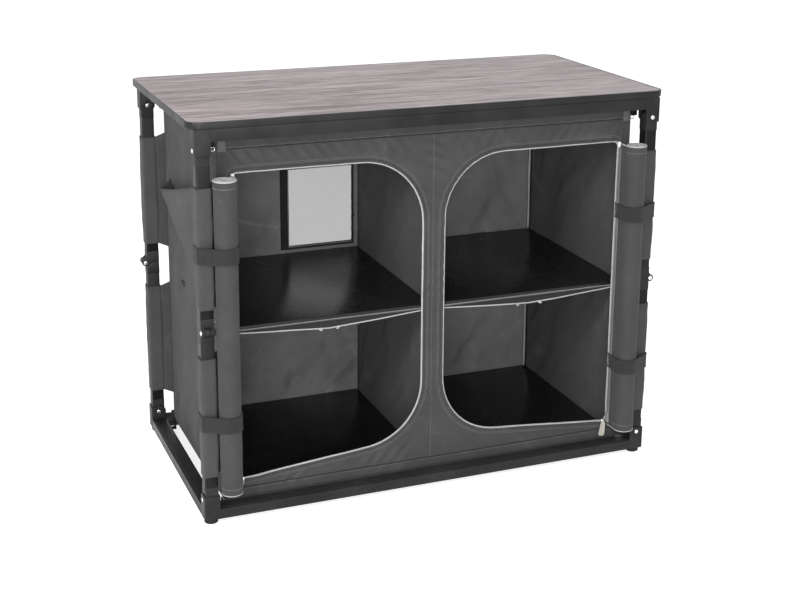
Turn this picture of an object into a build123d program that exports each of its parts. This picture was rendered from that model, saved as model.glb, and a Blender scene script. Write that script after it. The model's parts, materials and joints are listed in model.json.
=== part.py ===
from build123d import *
import math
import os

os.makedirs("parts", exist_ok=True)

# A folding camping kitchen box, in millimetres. A worktop lies on a box frame whose four
# legs fold at the knee, each along another side of the frame, so that the top comes
# straight down. A cloth cabinet with four compartments hangs inside the frame.
# X runs along the worktop, Y from front to back and Z up from the floor.

# Worktop, with how far it reaches past the frame at its ends and at its front and back
WORKTOP_END_OVERHANG = 12.5
WORKTOP_SIDE_OVERHANG = 2.5
WORKTOP_THICKNESS = 14.0
WORKTOP_CORNER_RADIUS = 28.0
EDGE_BAND_WIDTH = 4.0
EDGE_BAND_ROUNDING = 3.0
CLEAT_LENGTH = 40.0
CLEAT_WIDTH = 12.0
CLEAT_HEIGHT = 10.0
CLEAT_CORNER_GAP = 46.5

# Frame and its heights, from the floor up
FRAME_LENGTH = 975.0
FRAME_DEPTH = 505.0
FOOT_HEIGHT = 10.0
FOOT_RADIUS = 14.0
FOOT_ROUNDING = 3.0
BOTTOM_RAIL_HEIGHT = 22.0
PIVOT_RISE = 17.0
HALF_LEG = 348.0
TOP_RAIL_HEIGHT = 24.0
CROSS_BAR_WIDTH = 20.0
CROSS_BAR_WALL = 1.5
CROSS_BAR_CLOTH_GAP = 1.0

# Tubes, corner blocks and end plugs
LEG_TUBE = 26.0
LEG_TUBE_WALL = 1.2
LEG_TUBE_ROUNDING = 2.5
RAIL_WALL = 1.5
RIB_HEIGHT = 1.5
RIB_WIDTH = 2.0
RIB_SPACING = 5.0
RIB_COUNT = 5
LIP_WIDTH = 11.0
LIP_THICKNESS = 2.5
LIP_HEIGHT = 19.0
CLEVIS_WALL = 2.2
CLEVIS_GAP = 0.3
CLEVIS_REACH = 27.0
CLEVIS_ROUNDING = 9.0
CORNER_ROUNDING = 2.0
SPIGOT_LENGTH = 20.0
SPIGOT_GAP = 0.2
PLUG_REACH = 28.0
RIVET_RADIUS = 3.0
RIVET_HEAD_RADIUS = 4.8
RIVET_HEAD_HEIGHT = 1.8
PIN_GAP = 0.1

# Knee hinges
KNEE_OFFSET = 16.0
KNEE_REACH = 25.0
KNEE_FACE_GAP = 0.4
KNUCKLE_RADIUS = 7.5
KNUCKLE_WIDTH = 12.0
KNUCKLE_GAP = 0.3
GUSSET_DEPTH = 5.4
GUSSET_HEIGHT = 12.0
KNEE_PIN_RADIUS = 3.0
KNEE_PIN_HEAD_RADIUS = 5.0

# Cloth cabinet
CLOTH = 1.2
CLOTH_GAP = 0.3
CABINET_SIDE_GAP = 18.0
CABINET_TOP_DROP = 12.0
WEB_INSET = 16.0
WEB_SLOPE = 9.0
PILLAR_HALF_WIDTH = 23.0
DOOR_SIDE_BAND = 26.5
DOOR_TOP_DROP = 68.0
DOOR_OUTER_RISE = 40.0
DOOR_INNER_RISE = 76.0
DOOR_CORNER_RADIUS = 130.0
DOOR_SMALL_RADIUS = 8.0
ZIP_TAPE_WIDTH = 5.0
WINDOW_LENGTH = 151.0
WINDOW_HEIGHT = 178.0
WINDOW_PARTITION_GAP = 14.0
WINDOW_BOARD_GAP = 14.0
WINDOW_THICKNESS = 0.8
BOARD_GAP = 1.5
MID_BOARD_DROP = 9.0
MID_BOARD_THICKNESS = 8.0
BOTTOM_BOARD_THICKNESS = 7.5
BOARD_ROUNDING = 4.0

# Sleeves on the legs, as distances from the pivots and the knee
SLEEVE_THICKNESS = 1.8
SLEEVE_FIT = 0.3
SLEEVE_ROUNDING = 4.0
SLEEVE_TOP_DROP = 70.0
SLEEVE_BOTTOM_RISE = 51.0
SLEEVE_ABOVE_KNEE = 43.0
SLEEVE_BELOW_KNEE = 55.0

# Rolled doors, their straps, zip sliders, pocket and hooks
ROLL_RADIUS = 22.0
ROLL_PITCH = 3.2
ROLL_CLOTH = 2.2
ROLL_HALF_TURNS = 10
ROLL_BOTTOM_OVERLAP = 6.0
ROLL_TOP_DROP = 4.0
ROLL_STAND_OFF = 36.8
STRAP_THICKNESS = 1.5
STRAP_WIDTH = 32.0
STRAP_GAP = 0.3
UPPER_STRAP_ABOVE_KNEE = 151.0
LOWER_STRAP_BELOW_KNEE = 184.0
STRAP_END = 4.0
SLIDER_WIDTH = 8.0
SLIDER_THICKNESS = 3.5
SLIDER_HEIGHT = 11.0
PULL_WIDTH = 6.5
PULL_THICKNESS = 1.5
PULL_HEIGHT = 24.0
SLIDER_INSET = 8.0
POCKET_END_GAP = 55.0
POCKET_BOTTOM_LENGTH = 105.0
POCKET_BOTTOM_ABOVE_KNEE = 38.0
POCKET_REAR_DEPTH = 140.0
POCKET_FRONT_DEPTH = 228.0
POCKET_REACH = 26.0
POCKET_BOTTOM_REACH = 6.0
HOOK_WIDTH = 12.0
HOOK_HEIGHT = 18.0
HOOK_THICKNESS = 3.0
HOOK_LIP_GAP = 1.0
HOOK_CLOTH_GAP = 0.6
TOP_HOOK_DROP = 17.0
TOP_HOOK_OVERLAP = 13.0
TOP_HOOK_REACH = 12.0
TOP_HOOK_LIP = 10.0

# Sizes worked out from those above
CORNER = LEG_TUBE + 2 * (CLEVIS_WALL + CLEVIS_GAP)
LEG_X = FRAME_LENGTH / 2 - CORNER / 2
LEG_Y = FRAME_DEPTH / 2 - CORNER / 2
INNER_X = FRAME_LENGTH / 2 - CORNER
INNER_Y = FRAME_DEPTH / 2 - CORNER
BOTTOM_RAIL_TOP = FOOT_HEIGHT + BOTTOM_RAIL_HEIGHT
BOTTOM_PIVOT_Z = BOTTOM_RAIL_TOP + PIVOT_RISE
KNEE_Z = BOTTOM_PIVOT_Z + HALF_LEG
TOP_PIVOT_Z = KNEE_Z + HALF_LEG
TOP_RAIL_BOTTOM = TOP_PIVOT_Z + PIVOT_RISE
TOP_RAIL_TOP = TOP_RAIL_BOTTOM + TOP_RAIL_HEIGHT
WORKTOP_TOP = TOP_RAIL_TOP + WORKTOP_THICKNESS
WORKTOP_LENGTH = FRAME_LENGTH + 2 * WORKTOP_END_OVERHANG
WORKTOP_DEPTH = FRAME_DEPTH + 2 * WORKTOP_SIDE_OVERHANG
SLEEVE_OUTER = LEG_TUBE + 2 * (SLEEVE_FIT + SLEEVE_THICKNESS)
CABINET_X = INNER_X - CABINET_SIDE_GAP
CABINET_Y = INNER_Y - CLOTH_GAP
CABINET_INNER_X = CABINET_X - CLOTH
CABINET_INNER_Y = CABINET_Y - CLOTH
FLOOR_Z = FOOT_HEIGHT + LIP_HEIGHT
CLOTH_BOTTOM_Z = FLOOR_Z + CLOTH + CLOTH_GAP
CLOTH_TOP_Z = TOP_RAIL_TOP - CABINET_TOP_DROP
WEB_X = LEG_X - SLEEVE_OUTER / 2 - CLOTH_GAP
DOOR_INNER_X = PILLAR_HALF_WIDTH
DOOR_OUTER_X = CABINET_X - DOOR_SIDE_BAND
DOOR_TOP_Z = TOP_RAIL_BOTTOM - DOOR_TOP_DROP
DOOR_BOTTOM_OUTER_Z = BOTTOM_RAIL_TOP + DOOR_OUTER_RISE
DOOR_BOTTOM_INNER_Z = BOTTOM_RAIL_TOP + DOOR_INNER_RISE
MID_BOARD_TOP_Z = KNEE_Z - MID_BOARD_DROP
WINDOW_X = -WINDOW_PARTITION_GAP - WINDOW_LENGTH / 2
WINDOW_Z = MID_BOARD_TOP_Z + WINDOW_BOARD_GAP + WINDOW_HEIGHT / 2
ROLL_X = DOOR_OUTER_X + ROLL_RADIUS
ROLL_Y = -(CABINET_Y + ROLL_STAND_OFF)
ROLL_BOTTOM_Z = DOOR_BOTTOM_OUTER_Z - ROLL_BOTTOM_OVERLAP
ROLL_TOP_Z = DOOR_TOP_Z - ROLL_TOP_DROP
STRAP_HEIGHTS = (KNEE_Z - LOWER_STRAP_BELOW_KNEE, KNEE_Z + UPPER_STRAP_ABOVE_KNEE)
POCKET_FRONT_Y = POCKET_END_GAP - CABINET_INNER_Y
POCKET_MOUTH_REAR_Y = CABINET_INNER_Y - POCKET_END_GAP
POCKET_BOTTOM_REAR_Y = POCKET_FRONT_Y + POCKET_BOTTOM_LENGTH
POCKET_BOTTOM_Z = KNEE_Z + POCKET_BOTTOM_ABOVE_KNEE
POCKET_REAR_Z = POCKET_BOTTOM_Z + POCKET_REAR_DEPTH
POCKET_FRONT_Z = POCKET_BOTTOM_Z + POCKET_FRONT_DEPTH
KNUCKLE_REACH = KNEE_OFFSET + KNUCKLE_RADIUS

# The origin is under the middle of the whole outline. The rolled doors reach further
# forward than the rear knees reach back, so the frame stands a little behind it.
FRONT_REACH = -ROLL_Y + ROLL_RADIUS + STRAP_GAP + STRAP_THICKNESS
REAR_REACH = max(WORKTOP_DEPTH / 2, LEG_Y + KNUCKLE_REACH)
FRAME_MID_Y = (FRONT_REACH - REAR_REACH) / 2

# Each corner's side of the frame and the way its leg folds, which is also local X there
CORNERS = {
    "front_left": (-1, -1, (0, 1, 0)),
    "front_right": (1, -1, (-1, 0, 0)),
    "rear_right": (1, 1, (0, -1, 0)),
    "rear_left": (-1, 1, (1, 0, 0)),
}


def level(z):
    """The frame's own XY plane at a height."""
    return Plane(origin=(0, FRAME_MID_Y, z))


def facing_front(y):
    """An upright plane across the frame that looks forward, with X and Z as its axes."""
    return Plane(origin=(0, FRAME_MID_Y + y, 0), x_dir=(1, 0, 0), z_dir=(0, -1, 0))


def facing_side(x):
    """An upright plane from front to back that looks right, with Y and Z as its axes."""
    return Plane(origin=(x, FRAME_MID_Y, 0), x_dir=(0, 1, 0), z_dir=(1, 0, 0))


def leg_level(corner, z):
    """A level plane on a leg's middle line, with local X the way the leg folds."""
    side_x, side_y, fold = CORNERS[corner]
    origin = (side_x * LEG_X, side_y * LEG_Y + FRAME_MID_Y, z)
    return Plane(origin=origin, x_dir=fold, z_dir=(0, 0, 1))


def leg_upright(corner, z):
    """An upright plane in which a leg folds: local X is the way it folds, local Y is up."""
    flat = leg_level(corner, z)
    return Plane(origin=flat.origin, x_dir=flat.x_dir, z_dir=-flat.y_dir)


def save(part, name):
    """Label a finished piece and write its file."""
    part.label = name
    export_step(part, f"parts/{name}.step")


# Worktop: a laminated board inside a rounded edge band, and cleats that centre it
with BuildPart() as worktop_board:
    with BuildSketch(level(TOP_RAIL_TOP)):
        RectangleRounded(
            WORKTOP_LENGTH - 2 * EDGE_BAND_WIDTH,
            WORKTOP_DEPTH - 2 * EDGE_BAND_WIDTH,
            WORKTOP_CORNER_RADIUS - EDGE_BAND_WIDTH,
        )
    extrude(amount=WORKTOP_THICKNESS)
save(worktop_board.part, "worktop_board")

with BuildPart() as worktop_edge_band:
    with BuildSketch(level(TOP_RAIL_TOP)):
        RectangleRounded(WORKTOP_LENGTH, WORKTOP_DEPTH, WORKTOP_CORNER_RADIUS)
    extrude(amount=WORKTOP_THICKNESS)
    fillet(worktop_edge_band.faces().sort_by(Axis.Z)[0].edges(), EDGE_BAND_ROUNDING)
    with BuildSketch(level(TOP_RAIL_TOP)):
        RectangleRounded(
            WORKTOP_LENGTH - 2 * EDGE_BAND_WIDTH,
            WORKTOP_DEPTH - 2 * EDGE_BAND_WIDTH,
            WORKTOP_CORNER_RADIUS - EDGE_BAND_WIDTH,
        )
    extrude(amount=WORKTOP_THICKNESS, mode=Mode.SUBTRACT)
save(worktop_edge_band.part, "worktop_edge_band")

with BuildPart() as worktop_cleats:
    with BuildSketch(level(TOP_RAIL_TOP - CLEAT_HEIGHT)):
        cleat_spacing = 2 * (INNER_X - CLEAT_CORNER_GAP) - CLEAT_LENGTH
        with GridLocations(cleat_spacing, 2 * (INNER_Y - CLOTH_GAP) - CLEAT_WIDTH, 2, 2):
            Rectangle(CLEAT_LENGTH, CLEAT_WIDTH)
    extrude(amount=CLEAT_HEIGHT)
save(worktop_cleats.part, "worktop_cleats")


# Rails: hollow tubes that end at the corner blocks
def rail_pair(length, spacing, upright, height, ribbed, lipped):
    """Two rails on the sides of the frame, drawn in section and extruded to their length."""
    rails = []
    bottom = FOOT_HEIGHT if ribbed else TOP_RAIL_BOTTOM
    tube_height = height - RIB_HEIGHT if ribbed else height
    for side in (-1, 1):
        with BuildPart() as rail:
            with BuildSketch(upright(-length / 2)):
                with Locations((side * spacing, bottom + tube_height / 2)):
                    Rectangle(CORNER, tube_height)
                    Rectangle(CORNER - 2 * RAIL_WALL, tube_height - 2 * RAIL_WALL, mode=Mode.SUBTRACT)
                if ribbed:
                    with Locations((side * spacing, bottom + tube_height + RIB_HEIGHT / 2)):
                        with GridLocations(RIB_SPACING, 0, RIB_COUNT, 1):
                            Rectangle(RIB_WIDTH, RIB_HEIGHT)
                if lipped:
                    lip_x = spacing - CORNER / 2 - LIP_WIDTH / 2
                    with Locations((side * lip_x, FLOOR_Z - LIP_THICKNESS / 2)):
                        Rectangle(LIP_WIDTH, LIP_THICKNESS)
            extrude(amount=length)
        rails.append(rail.part)
    return rails


def along_x(x):
    """The section plane of a rail that runs along X: Y and Z are its axes."""
    return facing_side(x)


def along_y(y):
    """The section plane of a rail that runs along Y: X and Z are its axes."""
    return Plane(origin=(0, FRAME_MID_Y - y, 0), x_dir=(1, 0, 0), z_dir=(0, -1, 0))


LONG_RAIL = 2 * INNER_X
SHORT_RAIL = 2 * INNER_Y
RAIL_SETS = {
    "bottom_long_rails": (LONG_RAIL, LEG_Y, along_x, BOTTOM_RAIL_HEIGHT, True, True),
    "bottom_short_rails": (SHORT_RAIL, LEG_X, along_y, BOTTOM_RAIL_HEIGHT, True, False),
    "top_long_rails": (LONG_RAIL, LEG_Y, along_x, TOP_RAIL_HEIGHT, False, False),
}
for name, values in RAIL_SETS.items():
    save(Compound(children=rail_pair(*values)), name)


def cross_bar(side):
    """A flat tube between the two top long rails, above the cabinet's side cloth."""
    height = CABINET_TOP_DROP - CROSS_BAR_CLOTH_GAP
    middle_x = side * (CABINET_INNER_X - CROSS_BAR_CLOTH_GAP - CROSS_BAR_WIDTH / 2)
    with BuildPart() as bar:
        with BuildSketch(along_y(-SHORT_RAIL / 2)):
            with Locations((middle_x, TOP_RAIL_TOP - height / 2)):
                Rectangle(CROSS_BAR_WIDTH, height)
                Rectangle(
                    CROSS_BAR_WIDTH - 2 * CROSS_BAR_WALL,
                    height - 2 * CROSS_BAR_WALL,
                    mode=Mode.SUBTRACT,
                )
        extrude(amount=SHORT_RAIL)
    return bar.part


save(Compound(children=[cross_bar(side) for side in (-1, 1)]), "top_short_rails")


# Corner blocks: each holds its rails on spigots and a leg between its cheeks
def corner_block(corner, rail_face, block_height, hollow_bottom, hollow_height, up):
    """A block with a clevis that reaches up or down. The bottom ones hold a short rail too."""
    side_x, side_y, _ = CORNERS[corner]
    spigot_width = CORNER - 2 * RAIL_WALL - 2 * SPIGOT_GAP
    spigot_height = hollow_height - 2 * SPIGOT_GAP
    spigot_z = hollow_bottom + SPIGOT_GAP
    with BuildPart() as block:
        with BuildSketch(leg_upright(corner, rail_face)):
            with BuildLine():
                FilletPolyline(
                    (-CORNER / 2, -block_height * up),
                    (CORNER / 2, -block_height * up),
                    (CORNER / 2, CLEVIS_REACH * up),
                    (-CORNER / 2, CLEVIS_REACH * up),
                    radius=[0, 0, CLEVIS_ROUNDING, CORNER_ROUNDING],
                    close=True,
                )
            make_face()
        extrude(amount=CORNER / 2, both=True)
        with BuildSketch(leg_upright(corner, rail_face)):
            with Locations((CLEVIS_WALL, CLEVIS_REACH / 2 * up)):
                Rectangle(CORNER, CLEVIS_REACH)
        extrude(amount=LEG_TUBE / 2 + CLEVIS_GAP, both=True, mode=Mode.SUBTRACT)
        with BuildSketch(leg_upright(corner, rail_face + PIVOT_RISE * up)):
            Circle(RIVET_RADIUS)
        extrude(amount=CORNER, both=True, mode=Mode.SUBTRACT)
        with BuildSketch(level(spigot_z)):
            with Locations((side_x * (INNER_X - SPIGOT_LENGTH / 2), side_y * LEG_Y)):
                Rectangle(SPIGOT_LENGTH, spigot_width)
            if up > 0:
                with Locations((side_x * LEG_X, side_y * (INNER_Y - SPIGOT_LENGTH / 2))):
                    Rectangle(spigot_width, SPIGOT_LENGTH)
        extrude(amount=spigot_height)
    return block.part


def rivet(corner, pivot_z):
    """A rivet through both cheeks, with a domed head on each."""
    with BuildPart() as shank:
        with BuildSketch(leg_upright(corner, pivot_z)):
            Circle(RIVET_RADIUS)
        extrude(amount=CORNER / 2, both=True)
        for end in (-1, 1):
            with BuildSketch(leg_upright(corner, pivot_z).offset(end * CORNER / 2)):
                Circle(RIVET_HEAD_RADIUS)
            extrude(amount=end * RIVET_HEAD_HEIGHT, taper=25)
    return shank.part


def foot(corner):
    """A round pad under a corner block."""
    with BuildPart() as pad:
        with BuildSketch(leg_level(corner, 0)):
            Circle(FOOT_RADIUS)
        extrude(amount=FOOT_HEIGHT)
        fillet(pad.faces().sort_by(Axis.Z)[0].edges(), FOOT_ROUNDING)
    return pad.part


hollow = BOTTOM_RAIL_HEIGHT - RIB_HEIGHT - 2 * RAIL_WALL
bottom_blocks = [
    corner_block(c, BOTTOM_RAIL_TOP, BOTTOM_RAIL_HEIGHT, FOOT_HEIGHT + RAIL_WALL, hollow, 1)
    for c in CORNERS
]
save(Compound(children=bottom_blocks), "bottom_corner_blocks")
hollow = TOP_RAIL_HEIGHT - 2 * RAIL_WALL
top_blocks = [
    corner_block(c, TOP_RAIL_BOTTOM, TOP_RAIL_HEIGHT, TOP_RAIL_BOTTOM + RAIL_WALL, hollow, -1)
    for c in CORNERS
]
save(Compound(children=top_blocks), "top_corner_blocks")
save(Compound(children=[rivet(c, BOTTOM_PIVOT_Z) for c in CORNERS]), "bottom_rivets")
save(Compound(children=[rivet(c, TOP_PIVOT_Z) for c in CORNERS]), "top_rivets")
save(Compound(children=[foot(c) for c in CORNERS]), "foot_pads")


# Legs: each half is a tube with an end plug at its pivot and half a hinge at the knee
def leg_tube(corner, up):
    """The square tube of a half leg. up is 1 above the knee and -1 below it."""
    length = HALF_LEG - PLUG_REACH - KNEE_REACH
    with BuildPart() as tube:
        with BuildSketch(leg_level(corner, KNEE_Z + KNEE_REACH * up)):
            RectangleRounded(LEG_TUBE, LEG_TUBE, LEG_TUBE_ROUNDING)
            bore = LEG_TUBE - 2 * LEG_TUBE_WALL
            RectangleRounded(bore, bore, LEG_TUBE_ROUNDING - LEG_TUBE_WALL, mode=Mode.SUBTRACT)
        extrude(amount=length * up)
    return tube.part


def spigot_section():
    """The section of a plug or knee where it fits inside the tube."""
    width = LEG_TUBE - 2 * (LEG_TUBE_WALL + SPIGOT_GAP)
    return RectangleRounded(width, width, LEG_TUBE_ROUNDING - LEG_TUBE_WALL)


def end_plug(corner, up):
    """The round-ended plug that turns on the rivet."""
    pivot_z = KNEE_Z + HALF_LEG * up
    with BuildPart() as plug:
        with BuildSketch(leg_upright(corner, pivot_z)):
            Circle(LEG_TUBE / 2)
            with Locations((0, -PLUG_REACH / 2 * up)):
                Rectangle(LEG_TUBE, PLUG_REACH)
            Circle(RIVET_RADIUS + PIN_GAP, mode=Mode.SUBTRACT)
        extrude(amount=LEG_TUBE / 2, both=True)
        with BuildSketch(leg_level(corner, pivot_z - PLUG_REACH * up)):
            spigot_section()
        extrude(amount=-SPIGOT_LENGTH * up)
    return plug.part


def knee_half(corner, up):
    """Half a knee hinge. The lower half has the middle knuckle, the upper one the outer two."""
    half_width = LEG_TUBE / 2
    own_middle = up < 0
    bore_radius = KNEE_PIN_RADIUS if own_middle else KNEE_PIN_RADIUS + PIN_GAP
    middle = KNUCKLE_WIDTH / 2
    with BuildPart() as knee:
        with BuildSketch(leg_upright(corner, KNEE_Z)):
            with Locations((0, (KNEE_REACH + KNEE_FACE_GAP / 2) / 2 * up)):
                Rectangle(LEG_TUBE, KNEE_REACH - KNEE_FACE_GAP / 2)
            with Locations((-KNEE_OFFSET, 0)):
                Circle(KNUCKLE_RADIUS)
            with BuildLine():
                Polyline(
                    (-half_width, 0),
                    (-half_width - GUSSET_DEPTH, 0),
                    (-half_width - GUSSET_DEPTH, GUSSET_HEIGHT / 2 * up),
                    (-half_width, GUSSET_HEIGHT * up),
                    close=True,
                )
            make_face()
        extrude(amount=half_width, both=True)
        if own_middle:
            cuts = [(middle, half_width), (-half_width, -middle)]
        else:
            cuts = [(-middle - KNUCKLE_GAP, middle + KNUCKLE_GAP)]
        for start, end in cuts:
            with BuildSketch(leg_upright(corner, KNEE_Z).offset(start)):
                with Locations((-KNEE_OFFSET, 0)):
                    Circle(KNUCKLE_RADIUS + KNUCKLE_GAP)
                with Locations((-half_width - KNUCKLE_RADIUS, GUSSET_HEIGHT / 2 * up)):
                    Rectangle(2 * KNUCKLE_RADIUS, GUSSET_HEIGHT)
            extrude(amount=end - start, mode=Mode.SUBTRACT)
        with BuildSketch(leg_upright(corner, KNEE_Z)):
            with Locations((-KNEE_OFFSET, 0)):
                Circle(bore_radius)
        extrude(amount=half_width, both=True, mode=Mode.SUBTRACT)
        with BuildSketch(leg_level(corner, KNEE_Z + KNEE_REACH * up)):
            spigot_section()
        extrude(amount=SPIGOT_LENGTH * up)
    return knee.part


def knee_pin(corner):
    """The pin through the knuckles, headed at both ends."""
    with BuildPart() as pin:
        upright = leg_upright(corner, KNEE_Z)
        with BuildSketch(upright):
            with Locations((-KNEE_OFFSET, 0)):
                Circle(KNEE_PIN_RADIUS)
        extrude(amount=LEG_TUBE / 2, both=True)
        for end in (-1, 1):
            with BuildSketch(upright.offset(end * LEG_TUBE / 2)):
                with Locations((-KNEE_OFFSET, 0)):
                    Circle(KNEE_PIN_HEAD_RADIUS)
            extrude(amount=end * RIVET_HEAD_HEIGHT, taper=25)
    return pin.part


HALVES = {"upper": 1, "lower": -1}
for corner in CORNERS:
    for half, up in HALVES.items():
        save(leg_tube(corner, up), f"{half}_leg_{corner}")
        save(end_plug(corner, up), f"{half}_plug_{corner}")
        save(knee_half(corner, up), f"{half}_knee_{corner}")
    save(knee_pin(corner), f"knee_pin_{corner}")


# Cloth sleeves round the legs, which the cabinet's webs are sewn to
def sleeve(corner, low, high):
    """A square sleeve over a leg tube."""
    inner = LEG_TUBE + 2 * SLEEVE_FIT
    with BuildPart() as tube:
        with BuildSketch(leg_level(corner, low)):
            RectangleRounded(SLEEVE_OUTER, SLEEVE_OUTER, SLEEVE_ROUNDING)
            RectangleRounded(inner, inner, SLEEVE_ROUNDING - SLEEVE_THICKNESS, mode=Mode.SUBTRACT)
        extrude(amount=high - low)
    return tube.part


SLEEVE_SPANS = (
    (BOTTOM_PIVOT_Z + SLEEVE_BOTTOM_RISE, KNEE_Z - SLEEVE_BELOW_KNEE),
    (KNEE_Z + SLEEVE_ABOVE_KNEE, TOP_PIVOT_Z - SLEEVE_TOP_DROP),
)
sleeves = [sleeve(c, low, high) for c in CORNERS for low, high in SLEEVE_SPANS]
save(Compound(children=sleeves), "leg_sleeves")


# Cloth cabinet: front and rear faces with webs out to the sleeves
def face_outline():
    """Half the outline of the front or rear cloth, from the bottom up, at positive X."""
    points = [(CABINET_X, CLOTH_BOTTOM_Z)]
    for low, high in SLEEVE_SPANS:
        points += [
            (CABINET_X, low - WEB_SLOPE),
            (WEB_X, low),
            (WEB_X, high),
            (CABINET_X, high + WEB_SLOPE),
        ]
    points.append((CABINET_X, CLOTH_TOP_Z))
    return points


def door_outline(side):
    """The four corners of a door opening, with the two at the middle pillar first."""
    return [
        (side * DOOR_INNER_X, DOOR_BOTTOM_INNER_Z),
        (side * DOOR_INNER_X, DOOR_TOP_Z),
        (side * DOOR_OUTER_X, DOOR_TOP_Z),
        (side * DOOR_OUTER_X, DOOR_BOTTOM_OUTER_Z),
    ]


def door_face(side, grow):
    """A door opening as a face, grown all round by the given amount."""
    with BuildSketch() as face:
        with BuildLine():
            Polyline(*door_outline(side), close=True)
        make_face()
        middle = face.vertices().filter_by(lambda v: abs(v.X) < DOOR_OUTER_X / 2)
        fillet(middle, DOOR_CORNER_RADIUS)
        outer = face.vertices().filter_by(lambda v: abs(v.X) > DOOR_OUTER_X - 1)
        fillet(outer, DOOR_SMALL_RADIUS)
        if grow:
            offset(amount=grow)
    return face.sketch


with BuildPart() as front_cloth:
    with BuildSketch(facing_front(-CABINET_INNER_Y)):
        half = face_outline()
        with BuildLine():
            Polyline(*half, *[(-x, z) for x, z in reversed(half)], close=True)
        make_face()
        add([door_face(side, 0) for side in (-1, 1)], mode=Mode.SUBTRACT)
    extrude(amount=CLOTH)
save(front_cloth.part, "front_cloth")

with BuildPart() as rear_cloth:
    with BuildSketch(facing_front(CABINET_Y)):
        half = face_outline()
        with BuildLine():
            Polyline(*half, *[(-x, z) for x, z in reversed(half)], close=True)
        make_face()
        with Locations((WINDOW_X, WINDOW_Z)):
            Rectangle(WINDOW_LENGTH, WINDOW_HEIGHT, mode=Mode.SUBTRACT)
    extrude(amount=CLOTH)
save(rear_cloth.part, "rear_cloth")

with BuildPart() as window_panel:
    with BuildSketch(facing_front(CABINET_Y - (CLOTH - WINDOW_THICKNESS) / 2)):
        with Locations((WINDOW_X, WINDOW_Z)):
            Rectangle(WINDOW_LENGTH, WINDOW_HEIGHT)
    extrude(amount=WINDOW_THICKNESS)
save(window_panel.part, "window_panel")


# Cabinet sides, partition, floor and shelf slings
def upright_cloth(x):
    """A cloth wall from front to back, from its left face at x."""
    with BuildPart() as wall:
        with BuildSketch(facing_side(x)):
            with Locations((0, (CLOTH_BOTTOM_Z + CLOTH_TOP_Z) / 2)):
                Rectangle(2 * (CABINET_INNER_Y - CLOTH_GAP), CLOTH_TOP_Z - CLOTH_BOTTOM_Z)
        extrude(amount=CLOTH)
    return wall.part


save(upright_cloth(-CABINET_X), "left_cloth")
save(upright_cloth(CABINET_INNER_X), "right_cloth")
save(upright_cloth(-CLOTH / 2), "partition_cloth")

with BuildPart() as floor_cloth:
    with BuildSketch(level(FLOOR_Z)):
        Rectangle(2 * CABINET_X, 2 * (CABINET_Y - CLOTH_GAP))
    extrude(amount=CLOTH)
save(floor_cloth.part, "floor_cloth")

SLING_INNER = CLOTH / 2 + CLOTH_GAP
SLING_OUTER = CABINET_INNER_X - CLOTH_GAP
MID_BOARD_BOTTOM = MID_BOARD_TOP_Z - MID_BOARD_THICKNESS
with BuildPart() as shelf_slings:
    with BuildSketch(level(MID_BOARD_BOTTOM - CLOTH_GAP - CLOTH)):
        with GridLocations(SLING_INNER + SLING_OUTER, 0, 2, 1):
            Rectangle(SLING_OUTER - SLING_INNER, 2 * (CABINET_INNER_Y - CLOTH_GAP))
    extrude(amount=CLOTH)
save(shelf_slings.part, "shelf_slings")


# Stiff boards: two on the cabinet's floor and two on the slings half way up
def shelf_board(side, bottom, thickness):
    """A board that fills one compartment's floor."""
    inner = CLOTH / 2 + BOARD_GAP
    outer = CABINET_INNER_X - BOARD_GAP
    with BuildPart() as board:
        with BuildSketch(level(bottom)):
            with Locations((side * (inner + outer) / 2, 0)):
                RectangleRounded(outer - inner, 2 * (CABINET_INNER_Y - BOARD_GAP), BOARD_ROUNDING)
        extrude(amount=thickness)
    return board.part


for side, word in ((-1, "left"), (1, "right")):
    bottom_board_z = FLOOR_Z + CLOTH + CLOTH_GAP
    save(shelf_board(side, bottom_board_z, BOTTOM_BOARD_THICKNESS), f"bottom_board_{word}")
    save(shelf_board(side, MID_BOARD_BOTTOM, MID_BOARD_THICKNESS), f"mid_board_{word}")


# Zip tapes round the door openings, and their sliders
def zip_tape(side):
    """A ring of tape on the front cloth round a door opening."""
    with BuildPart() as tape:
        with BuildSketch(facing_front(-CABINET_Y - CLOTH_GAP)):
            add(door_face(side, ZIP_TAPE_WIDTH))
            add(door_face(side, 0), mode=Mode.SUBTRACT)
        extrude(amount=CLOTH)
    return tape.part


def zip_slider(side):
    """A slider on the lower tape, beside the rolled door, with its pull hanging from it."""
    x = side * (DOOR_OUTER_X - SLIDER_INSET)
    tape_front = -CABINET_Y - CLOTH_GAP - CLOTH
    with BuildPart() as slider:
        with BuildSketch(facing_front(tape_front)):
            with Locations((x, DOOR_BOTTOM_OUTER_Z)):
                RectangleRounded(SLIDER_WIDTH, SLIDER_HEIGHT, SLIDER_WIDTH / 4)
        extrude(amount=SLIDER_THICKNESS)
        with BuildSketch(facing_front(tape_front - SLIDER_THICKNESS / 2)):
            with Locations((x, DOOR_BOTTOM_OUTER_Z - PULL_HEIGHT / 2)):
                RectangleRounded(PULL_WIDTH, PULL_HEIGHT, PULL_WIDTH / 3)
        extrude(amount=PULL_THICKNESS)
    return slider.part


save(Compound(children=[zip_tape(side) for side in (-1, 1)]), "zip_tapes")
save(Compound(children=[zip_slider(side) for side in (-1, 1)]), "zip_sliders")


# Rolled doors: the cloth leaves the front face, runs forward and winds up on itself
ROLL_STEPS = 8


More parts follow.
